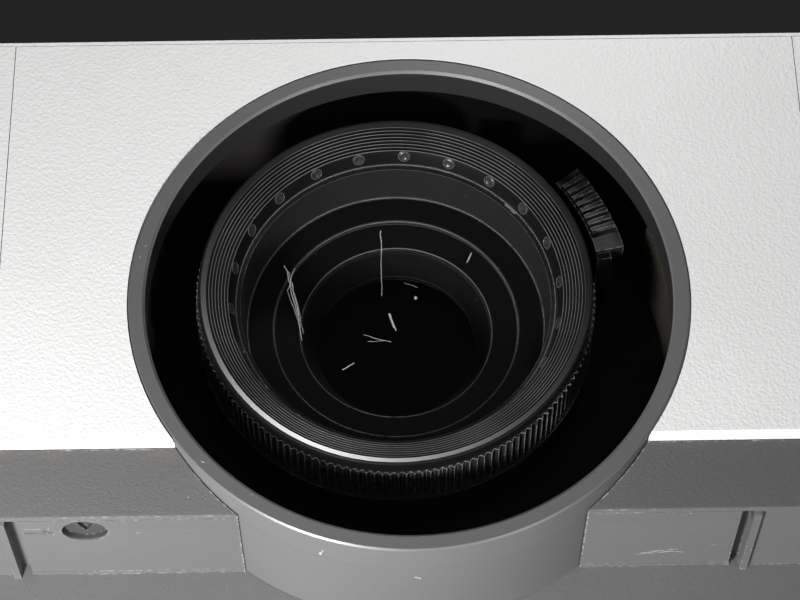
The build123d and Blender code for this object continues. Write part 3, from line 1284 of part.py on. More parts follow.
NODES = {
    "base_case": base_case,
    "top_cover": top_cover,
    "front_panel": front_panel,
    "side_cover_left": side_cover_left,
    "side_cover_right": side_cover_right,
    "rear_panel": rear_panel,
    "ir_windows": ir_windows,
    "lens_bezel": lens_bezel,
    "lens_tunnel": lens_tunnel,
    "foam_seals": foam_seals,
    "ledge_cover_left": ledge_cover_left,
    "ledge_cover_right": ledge_cover_right,
    "front_rim": front_rim,
    "front_lens": front_lens,
    "inner_lenses": inner_lenses,
    "lens_barrel": lens_barrel,
    "focus_ring": focus_ring,
    "zoom_ring": zoom_ring,
    "light_shield": light_shield,
    "lens_mount_frame": lens_mount_frame,
    "vertical_guide_rods": vertical_guide_rods,
    "vertical_carriage": vertical_carriage,
    "horizontal_guide_rods": horizontal_guide_rods,
    "horizontal_carriage": horizontal_carriage,
    "shift_dial_door": shift_dial_door,
    "lamp_door": lamp_door,
    "key_panel": key_panel,
    "status_lamps": status_lamps,
    "optical_engine": optical_engine,
    "lamp_housing": lamp_housing,
    "lamp_module": lamp_module,
    "lamp_ballast": lamp_ballast,
    "power_supply": power_supply,
    "main_board": main_board,
    "video_inputs": video_inputs,
    "control_ports": control_ports,
    "speaker": speaker,
    "ac_inlet": ac_inlet,
    "power_switch": power_switch,
    "filter_cassette": filter_cassette,
    "filter_foam": filter_foam,
    "exhaust_fan_frame": exhaust_fan_frame,
    "exhaust_fan_rotor": exhaust_fan_rotor,
    "rear_feet": rear_feet,
    "ceiling_inserts": ceiling_inserts,
    "case_screws": case_screws,
}

os.makedirs("parts", exist_ok=True)
for node, make in NODES.items():
    save(node, make())
for side, x in (("vertical", -DIAL_SPACING / 2), ("horizontal", DIAL_SPACING / 2)):
    save(f"{side}_shift_dial", dial(x))
for node, place in key_places().items():
    save(node, key(*place))
for side, place in zip(("left", "right"), foot_places(FRONT_FOOT_SETBACK)):
    save(f"foot_stem_{side}", foot_stem(*place))
    save(f"foot_pad_{side}", foot_pad(*place))
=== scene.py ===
"""Installation video projector with a round lens bezel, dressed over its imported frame."""
import math
import bpy
from mathutils import Matrix, Vector


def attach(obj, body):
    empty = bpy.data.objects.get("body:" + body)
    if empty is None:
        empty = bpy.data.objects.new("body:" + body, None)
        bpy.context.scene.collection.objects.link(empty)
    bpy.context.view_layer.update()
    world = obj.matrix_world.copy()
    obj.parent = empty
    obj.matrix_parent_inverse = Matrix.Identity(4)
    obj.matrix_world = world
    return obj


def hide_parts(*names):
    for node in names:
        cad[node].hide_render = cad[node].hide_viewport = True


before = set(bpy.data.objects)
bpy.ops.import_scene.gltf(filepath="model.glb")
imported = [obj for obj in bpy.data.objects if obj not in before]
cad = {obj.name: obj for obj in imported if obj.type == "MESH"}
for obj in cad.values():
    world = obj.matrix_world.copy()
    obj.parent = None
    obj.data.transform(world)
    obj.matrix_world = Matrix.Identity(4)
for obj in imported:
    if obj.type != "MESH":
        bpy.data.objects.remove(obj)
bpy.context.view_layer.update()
bpy.ops.object.select_all(action="DESELECT")


# Lower case: one grey moulding in flame-retardant plastic, spark-eroded to a fine matt skin.
# It makes the sloped band, the ledge under the front and the riser behind it. The two flat
# inserts are snapped into the ledge, and handling has chipped the long edges bright.

def shade(tree, kind, inputs=None, **settings):
    """One shader node; an input may be a value or another node's output."""
    made = tree.nodes.new("ShaderNode" + kind)
    for name, value in settings.items():
        setattr(made, name, value)
    for name, value in (inputs or {}).items():
        if isinstance(value, bpy.types.NodeSocket):
            tree.links.new(value, made.inputs[name])
        else:
            made.inputs[name].default_value = value
    return made


def maths(tree, operation, first, second=0.0, clamp=False):
    """Result of one sum on plain numbers."""
    return shade(tree, "Math", {0: first, 1: second}, operation=operation,
                 use_clamp=clamp).outputs[0]


def vector(tree, operation, first, second=(0.0, 0.0, 0.0)):
    """Result of one sum on vectors: a number for a product or a length."""
    made = shade(tree, "VectorMath", {0: first, 1: second}, operation=operation)
    return made.outputs["Value" if operation in ("DOT_PRODUCT", "LENGTH") else "Vector"]


def ramp(tree, value, start, end):
    """0 below start and 1 above end, smoothly between them."""
    return shade(tree, "MapRange", {"Value": value, "From Min": start, "From Max": end},
                 interpolation_type="SMOOTHSTEP", clamp=True).outputs["Result"]


def place_of(tree):
    """Object coordinates, which stay with the piece when its body moves."""
    return shade(tree, "TexCoord").outputs["Object"]


def noise(tree, place, scale, detail=2.0, roughness=0.5):
    """Cloudy values round a half."""
    return shade(tree, "TexNoise", {"Vector": place, "Scale": scale, "Detail": detail,
                                    "Roughness": roughness}).outputs["Fac"]


def effect(name, takes, result):
    """An empty node group for an effect that several finishes share, with one result."""
    tree = bpy.data.node_groups.new(name, "ShaderNodeTree")
    for label, value in takes.items():
        kind = "NodeSocketVector" if isinstance(value, tuple) else "NodeSocketFloat"
        socket = tree.interface.new_socket(label, in_out="INPUT", socket_type=kind)
        socket.default_value = value
    tree.interface.new_socket(result, in_out="OUTPUT", socket_type="NodeSocketFloat")
    return tree, tree.nodes.new("NodeGroupInput"), tree.nodes.new("NodeGroupOutput")


def edge_wear():
    """Mask of corners rubbed bright, broken up into chips."""
    tree, takes, gives = effect("edge wear", {"Reach": 0.0006, "Chips": 900.0, "Amount": 0.5},
                                "Mask")
    place = place_of(tree)
    patch_scale, chip_share, patch_share = 35.0, 0.6, 0.4
    corner_gain, torn_gain = 5.0, 9.0
    rounded = shade(tree, "Bevel", {"Radius": takes.outputs["Reach"]}, samples=4)
    true = shade(tree, "NewGeometry").outputs["Normal"]
    bend = vector(tree, "DOT_PRODUCT", rounded.outputs[0], true)
    corner = maths(tree, "MULTIPLY", maths(tree, "SUBTRACT", 1.0, bend), corner_gain, clamp=True)
    chips = noise(tree, place, takes.outputs["Chips"], 2.0, 0.6)
    patches = noise(tree, place, patch_scale, 1.0)
    uneven = maths(tree, "ADD", maths(tree, "MULTIPLY", chips, chip_share),
                   maths(tree, "MULTIPLY", patches, patch_share))
    spared = maths(tree, "SUBTRACT", 1.0, takes.outputs["Amount"])
    torn = maths(tree, "MULTIPLY", maths(tree, "SUBTRACT", uneven, spared), torn_gain, clamp=True)
    tree.links.new(maths(tree, "MULTIPLY", corner, torn), gives.inputs["Mask"])
    return tree


def dust():
    """Mask of settled specks: few large ones among many small."""
    tree, takes, gives = effect("dust", {"Pitch": 300.0, "Share": 0.1}, "Mask")
    place = place_of(tree)
    smallest = 0.03
    total = None
    for rate, size in ((1.0, 0.05), (3.1, 0.10)):
        pitch = maths(tree, "MULTIPLY", takes.outputs["Pitch"], rate)
        cells = shade(tree, "TexVoronoi", {"Vector": place, "Randomness": 1.0, "Scale": pitch})
        draw = shade(tree, "SeparateColor", {"Color": cells.outputs["Color"]}).outputs[0]
        chosen = maths(tree, "LESS_THAN", draw, takes.outputs["Share"])
        share = maths(tree, "DIVIDE", draw, takes.outputs["Share"])
        reach = maths(tree, "ADD", maths(tree, "MULTIPLY", share, size), smallest)
        near = maths(tree, "LESS_THAN", cells.outputs["Distance"], reach)
        speck = maths(tree, "MULTIPLY", chosen, near)
        total = speck if total is None else maths(tree, "MAXIMUM", total, speck)
    tree.links.new(total, gives.inputs["Mask"])
    return tree


def scratches():
    """Mask of short hairlines: the walls of large bent cells, kept in patches only."""
    tree, takes, gives = effect("scratches", {"Pitch": 40.0, "Share": 0.3, "Width": 0.006},
                                "Mask")
    place = place_of(tree)
    bend_scale, bend_size, patch_scale = 22.0, 0.02, 90.0
    bend = shade(tree, "TexNoise", {"Vector": place, "Scale": bend_scale, "Detail": 1.0})
    bent = vector(tree, "MULTIPLY", bend.outputs["Color"], (bend_size, bend_size, bend_size))
    moved = vector(tree, "ADD", place, bent)
    walls = shade(tree, "TexVoronoi", {"Vector": moved, "Scale": takes.outputs["Pitch"]},
                  feature="DISTANCE_TO_EDGE").outputs["Distance"]
    line = maths(tree, "LESS_THAN", walls, takes.outputs["Width"])
    patch = noise(tree, place, patch_scale)
    kept = maths(tree, "GREATER_THAN", patch,
                 maths(tree, "SUBTRACT", 1.0, takes.outputs["Share"]))
    tree.links.new(maths(tree, "MULTIPLY", line, kept), gives.inputs["Mask"])
    return tree


def stroke():
    """Mask of one ragged scratch between two points, measured only along the axes in Only."""
    tree, takes, gives = effect("stroke", {"From": (0.0, 0.0, 0.0), "To": (0.0, 0.0, 0.01),
                                           "Width": 0.0003, "Ragged": 0.5,
                                           "Only": (1.0, 1.0, 1.0)}, "Mask")
    still = place_of(tree)
    sway_scale, sway_size, grit_scale, grit_gain, fade = 260.0, 0.0011, 3400.0, 1.3, 0.25
    sway = shade(tree, "TexNoise", {"Vector": still, "Scale": sway_scale, "Detail": 2.0})
    aside = vector(tree, "SUBTRACT", sway.outputs["Color"], (0.5, 0.5, 0.5))
    place = vector(tree, "ADD", still,
                   vector(tree, "MULTIPLY", aside, (sway_size, sway_size, sway_size)))
    reach = vector(tree, "MULTIPLY", vector(tree, "SUBTRACT", place, takes.outputs["From"]),
                   takes.outputs["Only"])
    run = vector(tree, "SUBTRACT", takes.outputs["To"], takes.outputs["From"])
    along = maths(tree, "DIVIDE", vector(tree, "DOT_PRODUCT", reach, run),
                  vector(tree, "DOT_PRODUCT", run, run), clamp=True)
    nearest = shade(tree, "VectorMath", {0: run, "Scale": along}, operation="SCALE").outputs[0]
    off = vector(tree, "LENGTH", vector(tree, "SUBTRACT", reach, nearest))
    torn = maths(tree, "MULTIPLY", noise(tree, still, grit_scale, 3.0, 0.75),
                 maths(tree, "MULTIPLY", takes.outputs["Ragged"], grit_gain))
    near = maths(tree, "SUBTRACT", 1.0, maths(tree, "DIVIDE", off, takes.outputs["Width"]),
                 clamp=True)
    tree.links.new(ramp(tree, maths(tree, "SUBTRACT", near, torn), 0.0, fade),
                   gives.inputs["Mask"])
    return tree


def grime():
    """Mask of dirt gathered at a level and thinning out from it."""
    tree, takes, gives = effect("grime", {"Level": 0.0, "Reach": 0.003, "Clear": 0.45}, "Mask")
    place = place_of(tree)
    patch_scale, patch_share, speck_scale, speck_share, gain = 60.0, 0.6, 1500.0, 0.4, 9.0
    height = shade(tree, "SeparateXYZ", {"Vector": place}).outputs["Z"]
    drop = maths(tree, "DIVIDE", maths(tree, "SUBTRACT", takes.outputs["Level"], height),
                 takes.outputs["Reach"])
    fade = maths(tree, "SUBTRACT", 1.0, maths(tree, "ABSOLUTE", drop), clamp=True)
    patches = maths(tree, "MULTIPLY", noise(tree, place, patch_scale), patch_share)
    grains = maths(tree, "MULTIPLY", noise(tree, place, speck_scale), speck_share)
    kept = maths(tree, "SUBTRACT", maths(tree, "ADD", patches, grains), takes.outputs["Clear"])
    tree.links.new(maths(tree, "MULTIPLY", maths(tree, "MULTIPLY", kept, gain, clamp=True), fade),
                   gives.inputs["Mask"])
    return tree


def skin():
    """Height of a moulded surface: leathery cells and fine sand."""
    tree, takes, gives = effect("moulded skin", {"Cells": 500.0, "Cell depth": 1.0,
                                                 "Sand": 3000.0, "Sand depth": 0.3}, "Height")
    place = place_of(tree)
    bend_size = 0.0012
    bend = shade(tree, "TexNoise", {"Vector": place, "Scale": takes.outputs["Cells"],
                                    "Detail": 2.0, "Roughness": 0.5})
    bent = vector(tree, "MULTIPLY", bend.outputs["Color"], (bend_size, bend_size, bend_size))
    moved = vector(tree, "ADD", place, bent)
    cells = shade(tree, "TexVoronoi", {"Vector": moved, "Scale": takes.outputs["Cells"],
                                       "Smoothness": 0.35},
                  feature="SMOOTH_F1").outputs["Distance"]
    sand = noise(tree, place, takes.outputs["Sand"])
    height = maths(tree, "ADD", maths(tree, "MULTIPLY", cells, takes.outputs["Cell depth"]),
                   maths(tree, "MULTIPLY", sand, takes.outputs["Sand depth"]))
    tree.links.new(height, gives.inputs["Height"])
    return tree


EDGE_WEAR, DUST, SCRATCHES, SKIN = edge_wear(), dust(), scratches(), skin()
STROKE, GRIME = stroke(), grime()


def group(tree, made, **inputs):
    """A shared effect in a finish, with its values."""
    node = tree.nodes.new("ShaderNodeGroup")
    node.node_tree = made
    for key, value in inputs.items():
        node.inputs[key.replace("_", " ")].default_value = value
    return node.outputs[0]


def mixed(tree, mask, below, above):
    """Colour above where the mask is 1, colour below elsewhere."""
    mix = shade(tree, "Mix", data_type="RGBA")
    for name, value in (("Factor", mask), ("A", below), ("B", above)):
        socket = next(s for s in mix.inputs if s.name == name and s.type == (
            "VALUE" if name == "Factor" else "RGBA"))
        if isinstance(value, bpy.types.NodeSocket):
            tree.links.new(value, socket)
        else:
            socket.default_value = value
    return next(s for s in mix.outputs if s.type == "RGBA")


def grey(level, warmth=0.0):
    """A grey, or a warm one with more red than blue."""
    return (level * (1 + warmth), level, level * (1 - warmth), 1.0)


def zone(tree, low, high):
    """Mask of a box in space with soft faces; a side given as None is open."""
    place = shade(tree, "SeparateXYZ", {"Vector": place_of(tree)})
    soft = 0.0003
    inside = None
    for axis in range(3):
        for wall, side in ((low[axis], 1.0), (high[axis], -1.0)):
            if wall is None:
                continue
            part = ramp(tree, place.outputs[axis], wall - side * soft, wall + side * soft)
            inside = part if inside is None else maths(tree, "MULTIPLY", inside, part)
    return inside


def axis_offset(tree, axis_x, axis_z):
    """Place measured from a front-to-back axis, and its distance from that axis."""
    off = vector(tree, "SUBTRACT", place_of(tree), (axis_x, 0.0, axis_z))
    return off, vector(tree, "LENGTH", vector(tree, "MULTIPLY", off, (1.0, 0.0, 1.0)))


def bore_zone(tree, axis_x, axis_z, radius, front):
    """Mask of what lies within a radius of a front-to-back axis and behind a plane."""
    off, away = axis_offset(tree, axis_x, axis_z)
    soft_side, soft_front = 0.0002, 0.0003
    near = ramp(tree, away, radius + soft_side, radius - soft_side)
    deep = ramp(tree, shade(tree, "SeparateXYZ", {"Vector": off}).outputs["Y"], front,
                front + soft_front)
    return maths(tree, "MULTIPLY", near, deep)


def crests(tree, axis_x, axis_z, outer, inner, count, width):
    """Mask of the turned edges of evenly stepped rings round a front-to-back axis, for a painted
    highlight on them.
    """
    away = axis_offset(tree, axis_x, axis_z)[1]
    close, far, farther = 0.00005, 0.0001, 0.00015
    step = maths(tree, "DIVIDE", maths(tree, "SUBTRACT", outer + close, away),
                 (outer - inner) / count)
    line = maths(tree, "LESS_THAN", maths(tree, "FRACT", step), width)
    within = maths(tree, "MULTIPLY", ramp(tree, away, inner - farther, inner - far),
                   ramp(tree, away, outer + far, outer + close))
    patch_scale, patch_gain, least = 90.0, 1.1, 0.1
    patches = maths(tree, "MULTIPLY", noise(tree, place_of(tree), patch_scale), patch_gain)
    broken = maths(tree, "ADD", patches, least, clamp=True)
    return maths(tree, "MULTIPLY", maths(tree, "MULTIPLY", line, within), broken)


def moulding(name, light, dark, worn, roughness, cells, depths, wear=0.5, specks=0.05,
             scratch=0.25, relief=0.0001, level=0.5, reach=0.0006, marks=(), dirt=None,
             shade_zones=(), shade_bores=(), turned=None):
    """Moulded plastic or blackened metal: two tones, a skin, dust, scratches and rubbed edges.

    marks are strokes, dirt is the level of a grimy seam, shade_zones and shade_bores are places
    painted darker as painted shade, and turned gives evenly stepped rings whose edges are painted
    lighter as a painted highlight.
    """
    tone_scale, hairline, hurt_cover, hurt_sunk = 28.0, 0.6, 0.8, 0.35
    dust_cover, dust_rough, tone_rough = 0.55, 0.3, 0.16
    dust_colour, dirt_colour = grey(0.5, 0.03), (0.10, 0.065, 0.04, 1.0)
    paint = bpy.data.materials.new(name)
    paint.use_nodes = True
    tree = paint.node_tree
    body = tree.nodes["Principled BSDF"]
    tone = noise(tree, place_of(tree), tone_scale, 4.0)
    colour = mixed(tree, tone, dark, light)
    for low, high, other in shade_zones:
        colour = mixed(tree, zone(tree, low, high), colour, other)
    for axis_x, axis_z, radius, front, other in shade_bores:
        colour = mixed(tree, bore_zone(tree, axis_x, axis_z, radius, front), colour, other)
    hurt = maths(tree, "MAXIMUM", group(tree, EDGE_WEAR, Amount=wear, Reach=reach),
                 maths(tree, "MULTIPLY", group(tree, SCRATCHES, Share=scratch), hairline))
    for start, end, width, ragged in marks:
        hurt = maths(tree, "MAXIMUM", hurt, group(tree, STROKE, From=start, To=end, Width=width,
                                                  Ragged=ragged))
    colour = mixed(tree, maths(tree, "MULTIPLY", hurt, hurt_cover), colour, worn)
    # Ridge crests painted in the worn colour: a painted highlight.
    if turned:
        colour = mixed(tree, crests(tree, *turned), colour, worn)
    if dirt:
        soil = group(tree, GRIME, Level=dirt, Reach=0.0035, Clear=0.5)
        colour = mixed(tree, soil, colour, dirt_colour)
    settled = group(tree, DUST, Share=specks)
    colour = mixed(tree, maths(tree, "MULTIPLY", settled, dust_cover), colour, dust_colour)
    tree.links.new(colour, body.inputs["Base Color"])
    rough = maths(tree, "ADD", maths(tree, "MULTIPLY", tone, tone_rough),
                  roughness - tone_rough / 2)
    tree.links.new(maths(tree, "ADD", rough, maths(tree, "MULTIPLY", settled, dust_rough)),
                   body.inputs["Roughness"])
    height = maths(tree, "SUBTRACT",
                   group(tree, SKIN, Cells=cells[0], Sand=cells[1], Cell_depth=depths[0],
                         Sand_depth=depths[1]), maths(tree, "MULTIPLY", hurt, hurt_sunk))
    bump = shade(tree, "Bump", {"Height": height, "Strength": 1.0, "Distance": relief})
    tree.links.new(bump.outputs[0], body.inputs["Normal"])
    body.inputs["Specular IOR Level"].default_value = level
    return paint


WELD_REACH, CREASE = 0.000004, math.radians(28)


def dress(finish, *names):
    """Gives CAD nodes a finish, with welded, smoothly shaded faces."""
    for name in names:
        node = cad[name]
        for slot in node.material_slots:
            slot.material = finish
        node.data.polygons.foreach_set("use_smooth", [True] * len(node.data.polygons))
        weld = node.modifiers.new("weld", "WELD")
        weld.merge_threshold = WELD_REACH
        split = node.modifiers.new("creases", "EDGE_SPLIT")
        split.split_angle = CREASE
        node.modifiers.new("flat faces", "WEIGHTED_NORMAL")


LEDGE_Z, SEAM_Z = 0.0353, 0.0490
# Marks are (from, to, width, raggedness), and painted-shade zones are (low corner, high corner,
# colour).
ledge_marks = [((0.0513, -0.1483, LEDGE_Z), (0.0560, -0.1500, LEDGE_Z), 0.0006, 0.9),
               ((0.0540, -0.1497, LEDGE_Z), (0.0590, -0.1503, LEDGE_Z), 0.00025, 0.5),
               ((-0.0603, -0.1634, LEDGE_Z), (-0.0597, -0.1633, LEDGE_Z), 0.00025, 0.7),
               ((0.0690, -0.1540, LEDGE_Z), (0.0640, -0.1500, LEDGE_Z), 0.0002, 0.7),
               ((0.0500, -0.1475, LEDGE_Z), (0.0580, -0.1492, LEDGE_Z), 0.00035, 0.7),
               ((0.0525, -0.1499, LEDGE_Z), (0.0603, -0.1486, LEDGE_Z), 0.00030, 0.75)]
ARROW_Y, ARROW_TAIL, ARROW_HEAD, ARROW_TIP = -0.1648, -0.0848, -0.0792, -0.0765
ARROW_STEM, ARROW_BARB, ARROW_WIDTH, ARROW_RAGGED = 0.0011, 0.0022, 0.00015, 0.6
arrow = [(ARROW_TAIL, ARROW_STEM), (ARROW_HEAD, ARROW_STEM), (ARROW_HEAD, ARROW_BARB),
         (ARROW_TIP, 0.0), (ARROW_HEAD, -ARROW_BARB), (ARROW_HEAD, -ARROW_STEM),
         (ARROW_TAIL, -ARROW_STEM), (ARROW_TAIL, ARROW_STEM)]
for start, end in zip(arrow, arrow[1:]):
    ledge_marks.append(((start[0], ARROW_Y + start[1], LEDGE_Z),
                        (end[0], ARROW_Y + end[1], LEDGE_Z), ARROW_WIDTH, ARROW_RAGGED))
# The round recess in the left ledge is painted darker inside: painted shade.
SHADED_RECESS = ((-0.0790, -0.1712, LEDGE_Z + 0.0004), (-0.0640, -0.1590, LEDGE_Z + 0.005),
          grey(0.040))
# The sloped band under the white panel's lower edge is painted darker: painted shade.
SHADED_BAND = ((None, None, LEDGE_Z + 0.0002), (None, -0.165, SEAM_Z + 0.001), grey(0.048))
GREY_CASE = moulding("grey case plastic", grey(0.112), grey(0.098), grey(0.36), 0.55,
                     (900.0, 3600.0), (0.25, 0.8), wear=0.5, relief=0.00009, specks=0.03,
                     marks=ledge_marks, dirt=SEAM_Z, shade_zones=[SHADED_BAND, SHADED_RECESS])
dress(GREY_CASE, "base_case", "ledge_cover_left", "ledge_cover_right")


# Covers: four white mouldings with a leather grain, clipped over the lower case, and two doors
# of the same plastic hinged in the top. The centre front panel has a bevelled lower edge, and
# fine seams part the pieces. The rear panel is the case's grey plastic.

WHITE_CASE = moulding("white leather-grain plastic", grey(0.63, 0.004), grey(0.59, 0.008),
                      grey(0.62), 0.5, (1150.0, 3200.0), (1.0, 0.12), wear=0.2, specks=0.012,
                      scratch=0.1, relief=0.000085)
dress(WHITE_CASE, "top_cover", "front_panel", "side_cover_left", "side_cover_right",
      "shift_dial_door", "lamp_door")
dress(GREY_CASE, "rear_panel")


# Bezel: a satin grey ring with a skirt below, screwed in from behind. A black sleeve runs back
# from it, and strips of open-cell foam stuck inside close the gap round the lens at any shift.

FRONT_Y, RING_Y, RING_Z, RING_INSIDE = -0.180, -0.1796, 0.0855, 0.0589
ring_marks = [((-0.0452, FRONT_Y, 0.0443), (-0.0446, FRONT_Y, 0.0440), 0.0002, 0.7),
              ((-0.0342, FRONT_Y, 0.0366), (-0.0348, FRONT_Y, 0.0362), 0.00018, 0.7),
              ((-0.0367, FRONT_Y, 0.0329), (-0.0372, FRONT_Y, 0.0326), 0.00018, 0.7),
              ((-0.0590, FRONT_Y, 0.0985), (-0.0602, FRONT_Y, 0.0950), 0.0002, 0.8),
              ((-0.0200, -0.1712, 0.0262), (-0.0195, -0.1738, 0.0260), 0.00045, 0.5),
              ((0.0003, -0.1655, 0.0229), (0.0012, -0.1650, 0.0229), 0.0005, 0.55)]
# The ring's front face is painted darker than its skirt: painted shade.
SHADED_RING_FACE = ((None, None, None), (None, RING_Y, None), grey(0.082))
# Inside the ring's opening, the wall of the lip is painted near black: painted shade.
BEZEL = moulding("satin bezel plastic", grey(0.122), grey(0.112), grey(0.42), 0.40,
                 (1500.0, 4200.0), (0.1, 0.5), wear=0.36, relief=0.00005, specks=0.015,
                 scratch=0.12, reach=0.0004, marks=ring_marks, shade_zones=[SHADED_RING_FACE], level=0.6,
                 shade_bores=[(0.0, RING_Z, RING_INSIDE, RING_Y, grey(0.016))])
dress(BEZEL, "lens_bezel", "key_panel")
SLEEVE = moulding("dusty black sleeve plastic", (0.017, 0.0125, 0.013, 1.0), grey(0.008),
                  grey(0.1), 0.62, (1200.0, 3800.0), (0.2, 0.6), wear=0.25, relief=0.00008)
dress(SLEEVE, "lens_tunnel")
BLACK = moulding("black moulded plastic", grey(0.020), grey(0.013), grey(0.16), 0.5,
                 (1200.0, 3800.0), (0.2, 0.6), wear=0.42, relief=0.00008)
dress(BLACK, "vertical_shift_dial", "horizontal_shift_dial", "power_switch", "ac_inlet",
      "exhaust_fan_frame", "exhaust_fan_rotor", "speaker")


def foam(name, node, body, voxel, swell, finish):
    """A foam piece over its CAD solid: merged, remeshed and given the cells' uneven skin."""
    dent_pitch, sunk = 1.6, 0.7
    made = cad[node].copy()
    made.data = cad[node].data.copy()
    made.modifiers.clear()
    made.name = name
    bpy.context.scene.collection.objects.link(made)
    bpy.ops.object.select_all(action="DESELECT")
    made.select_set(True)
    bpy.context.view_layer.objects.active = made
    bpy.ops.object.mode_set(mode="EDIT")
    bpy.ops.mesh.select_all(action="SELECT")
    bpy.ops.mesh.remove_doubles(threshold=WELD_REACH)
    bpy.ops.object.mode_set(mode="OBJECT")
    remesh = made.modifiers.new("cells", "REMESH")
    remesh.mode, remesh.voxel_size = "VOXEL", voxel
    cloud = bpy.data.textures.new(name + " skin", "CLOUDS")
    cloud.noise_scale, cloud.noise_depth = voxel * dent_pitch, 1
    dents = made.modifiers.new("dents", "DISPLACE")
    dents.texture, dents.strength, dents.mid_level = cloud, swell, sunk
    dents.texture_coords = "LOCAL"
    for modifier in ("cells", "dents"):
        bpy.ops.object.modifier_apply(modifier=modifier)
    made.data.materials.clear()
    made.data.materials.append(finish)
    made.data.polygons.foreach_set("use_smooth", [True] * len(made.data.polygons))
    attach(made, body)
    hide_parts(node)


FOAM = moulding("open-cell foam", (0.050, 0.040, 0.028, 1.0), grey(0.010), grey(0.1), 0.95,
                (1900.0, 5200.0), (0.9, 0.5), wear=0.0, specks=0.15, relief=0.0004, level=0.1)
foam("bezel_foam", "foam_seals", "chassis", 0.0009, 0.0004, FOAM)


# Lens front: a turned black ring with a bright lip, fine steps inside it, and a steep cone with
# a row of small milled cups that runs down to the glass. A thin polished ring retains the glass.

LENS_X, LENS_Z, MERGE_REACH = -0.00293, 0.09034, 0.000002


def lathe(name, outline, steps, closed=True, x=LENS_X, z=LENS_Z, front=FRONT_Y):
    """A shape turned about a front-to-back axis from (radius, setback) points."""
    radius, setback = outline[0]
    bpy.ops.mesh.primitive_circle_add(vertices=steps, radius=radius, fill_type="NOTHING",
                                      location=(x, front + setback, z),
                                      rotation=(math.pi / 2, 0, 0))
    made = bpy.context.object
    made.name = name
    bpy.ops.object.transform_apply()
    bpy.ops.object.mode_set(mode="EDIT")
    for next_radius, next_setback in outline[1:] + (outline[:1] if closed else []):
        bpy.ops.mesh.extrude_edges_move(
            TRANSFORM_OT_translate={"value": (0, next_setback - setback, 0)})
        scale = next_radius / radius
        bpy.ops.transform.resize(value=(scale, 1, scale),
                                 center_override=(x, front + next_setback, z))
        radius, setback = next_radius, next_setback
    bpy.ops.mesh.select_all(action="SELECT")
    bpy.ops.mesh.remove_doubles(threshold=MERGE_REACH)
    bpy.ops.mesh.normals_make_consistent(inside=False)
    bpy.ops.object.mode_set(mode="OBJECT")
    return made


def finish_piece(made, finish, body, angle=30.0):
    """Finish, creased shading and the body that carries the piece."""
    made.data.materials.append(finish)
    bpy.ops.object.select_all(action="DESELECT")
    made.select_set(True)
    bpy.context.view_layer.objects.active = made
    bpy.ops.object.shade_smooth_by_angle(angle=math.radians(angle))
    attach(made, body)


STEPS, LIP, LIP_DEEP, INNER, INNER_DEEP = 7, 0.04287, 0.00642, 0.03806, 0.0089
CONE_END, GLASS_DEEP, CREST_WIDTH = 0.03646, 0.0124, 0.26
RIM_RADIUS, RIM_BACK, SEAT_RADIUS, SEAT_BACK = 0.0446, 0.0094, 0.0389, 0.0129
RIM_SIDES, RING_SIDES, GLASS_SIDES, CUP_SIDES = 224, 192, 160, 28
STEP_SHAPE = ((0.0, 0.0), (0.00010, 0.00003), (0.00028, 0.00052), (0.00052, 0.00054))
ridge_profile = [(RIM_RADIUS, RIM_BACK), (RIM_RADIUS, 0.00640), (0.04450, 0.00615),
                 (0.04425, 0.0060), (0.0440, 0.0060), (0.04290, 0.00635)]
for step in range(STEPS):
    radius = LIP + (INNER - LIP) * step / STEPS
    setback = LIP_DEEP + (INNER_DEEP - LIP_DEEP) * step / STEPS
    ridge_profile += [(radius - inward, setback + back) for inward, back in STEP_SHAPE]
ridge_profile += [(INNER, INNER_DEEP), (INNER - 0.0001, INNER_DEEP + 0.00006),
                  (CONE_END, GLASS_DEEP), (0.0364, SEAT_BACK), (SEAT_RADIUS, SEAT_BACK),
                  (SEAT_RADIUS, RIM_BACK)]
# The edges of the ring's fine steps are painted lighter: a painted highlight.
RIM = moulding("turned black metal", grey(0.005), grey(0.0035), grey(0.15), 0.3,
               (2200.0, 5200.0), (0.1, 0.5), wear=0.1, relief=0.00001, specks=0.006,
               scratch=0.05, reach=0.0002, level=0.35,
               turned=(LENS_X, LENS_Z, LIP, INNER, STEPS, CREST_WIDTH))
rim = lathe("stepped_front_ring", ridge_profile, RIM_SIDES)
finish_piece(rim, RIM, "lens_unit", 20.0)
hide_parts("front_rim")

POLISHED = moulding("polished black metal", grey(0.03), grey(0.015), grey(0.5), 0.2,
                    (2200.0, 5200.0), (0.05, 0.1), wear=0.7, relief=0.00001, specks=0.0,
                    scratch=0.0, reach=0.00015, level=1.0)
CUP = moulding("milled cup", (0.020, 0.026, 0.020, 1.0), grey(0.012), grey(0.24), 0.3,
               (2200.0, 5200.0), (0.05, 0.1), wear=0.75, relief=0.00001, specks=0.0, scratch=0.0,
               reach=0.0001, level=0.3)
LIP_METAL = moulding("bright-turned lip", grey(0.15), grey(0.06), grey(0.24), 0.36,
                     (2200.0, 5200.0), (0.05, 0.5), wear=0.3, relief=0.00002, specks=0.0,
                     scratch=0.3, reach=0.0002)
LIP_METAL.node_tree.nodes["Principled BSDF"].inputs["Metallic"].default_value = 1.0
lip = lathe("bright_turned_lip", [(0.04280, 0.00650), (0.04280, 0.00636), (0.04395, 0.00597),
                                  (0.04395, 0.00615)], RIM_SIDES)
finish_piece(lip, LIP_METAL, "lens_unit", 25.0)
DIMPLES, FIRST_TURN = 22, math.radians(4.4)
CUP_RADIUS, CUP_DEEP = 0.03733, 0.01040
CONE_TILT = math.atan2(INNER - CONE_END, GLASS_DEEP - INNER_DEEP)
cup_profile = [(0.00142, 0.00015), (0.00142, -0.00008), (0.00137, -0.00011),
               (0.00130, -0.00011), (0.00124, -0.00005), (0.00096, -0.00005),
               (0.00091, -0.00009), (0.00084, -0.00009), (0.00078, -0.00005),
               (0.0001, -0.00005), (0.0001, 0.00015)]
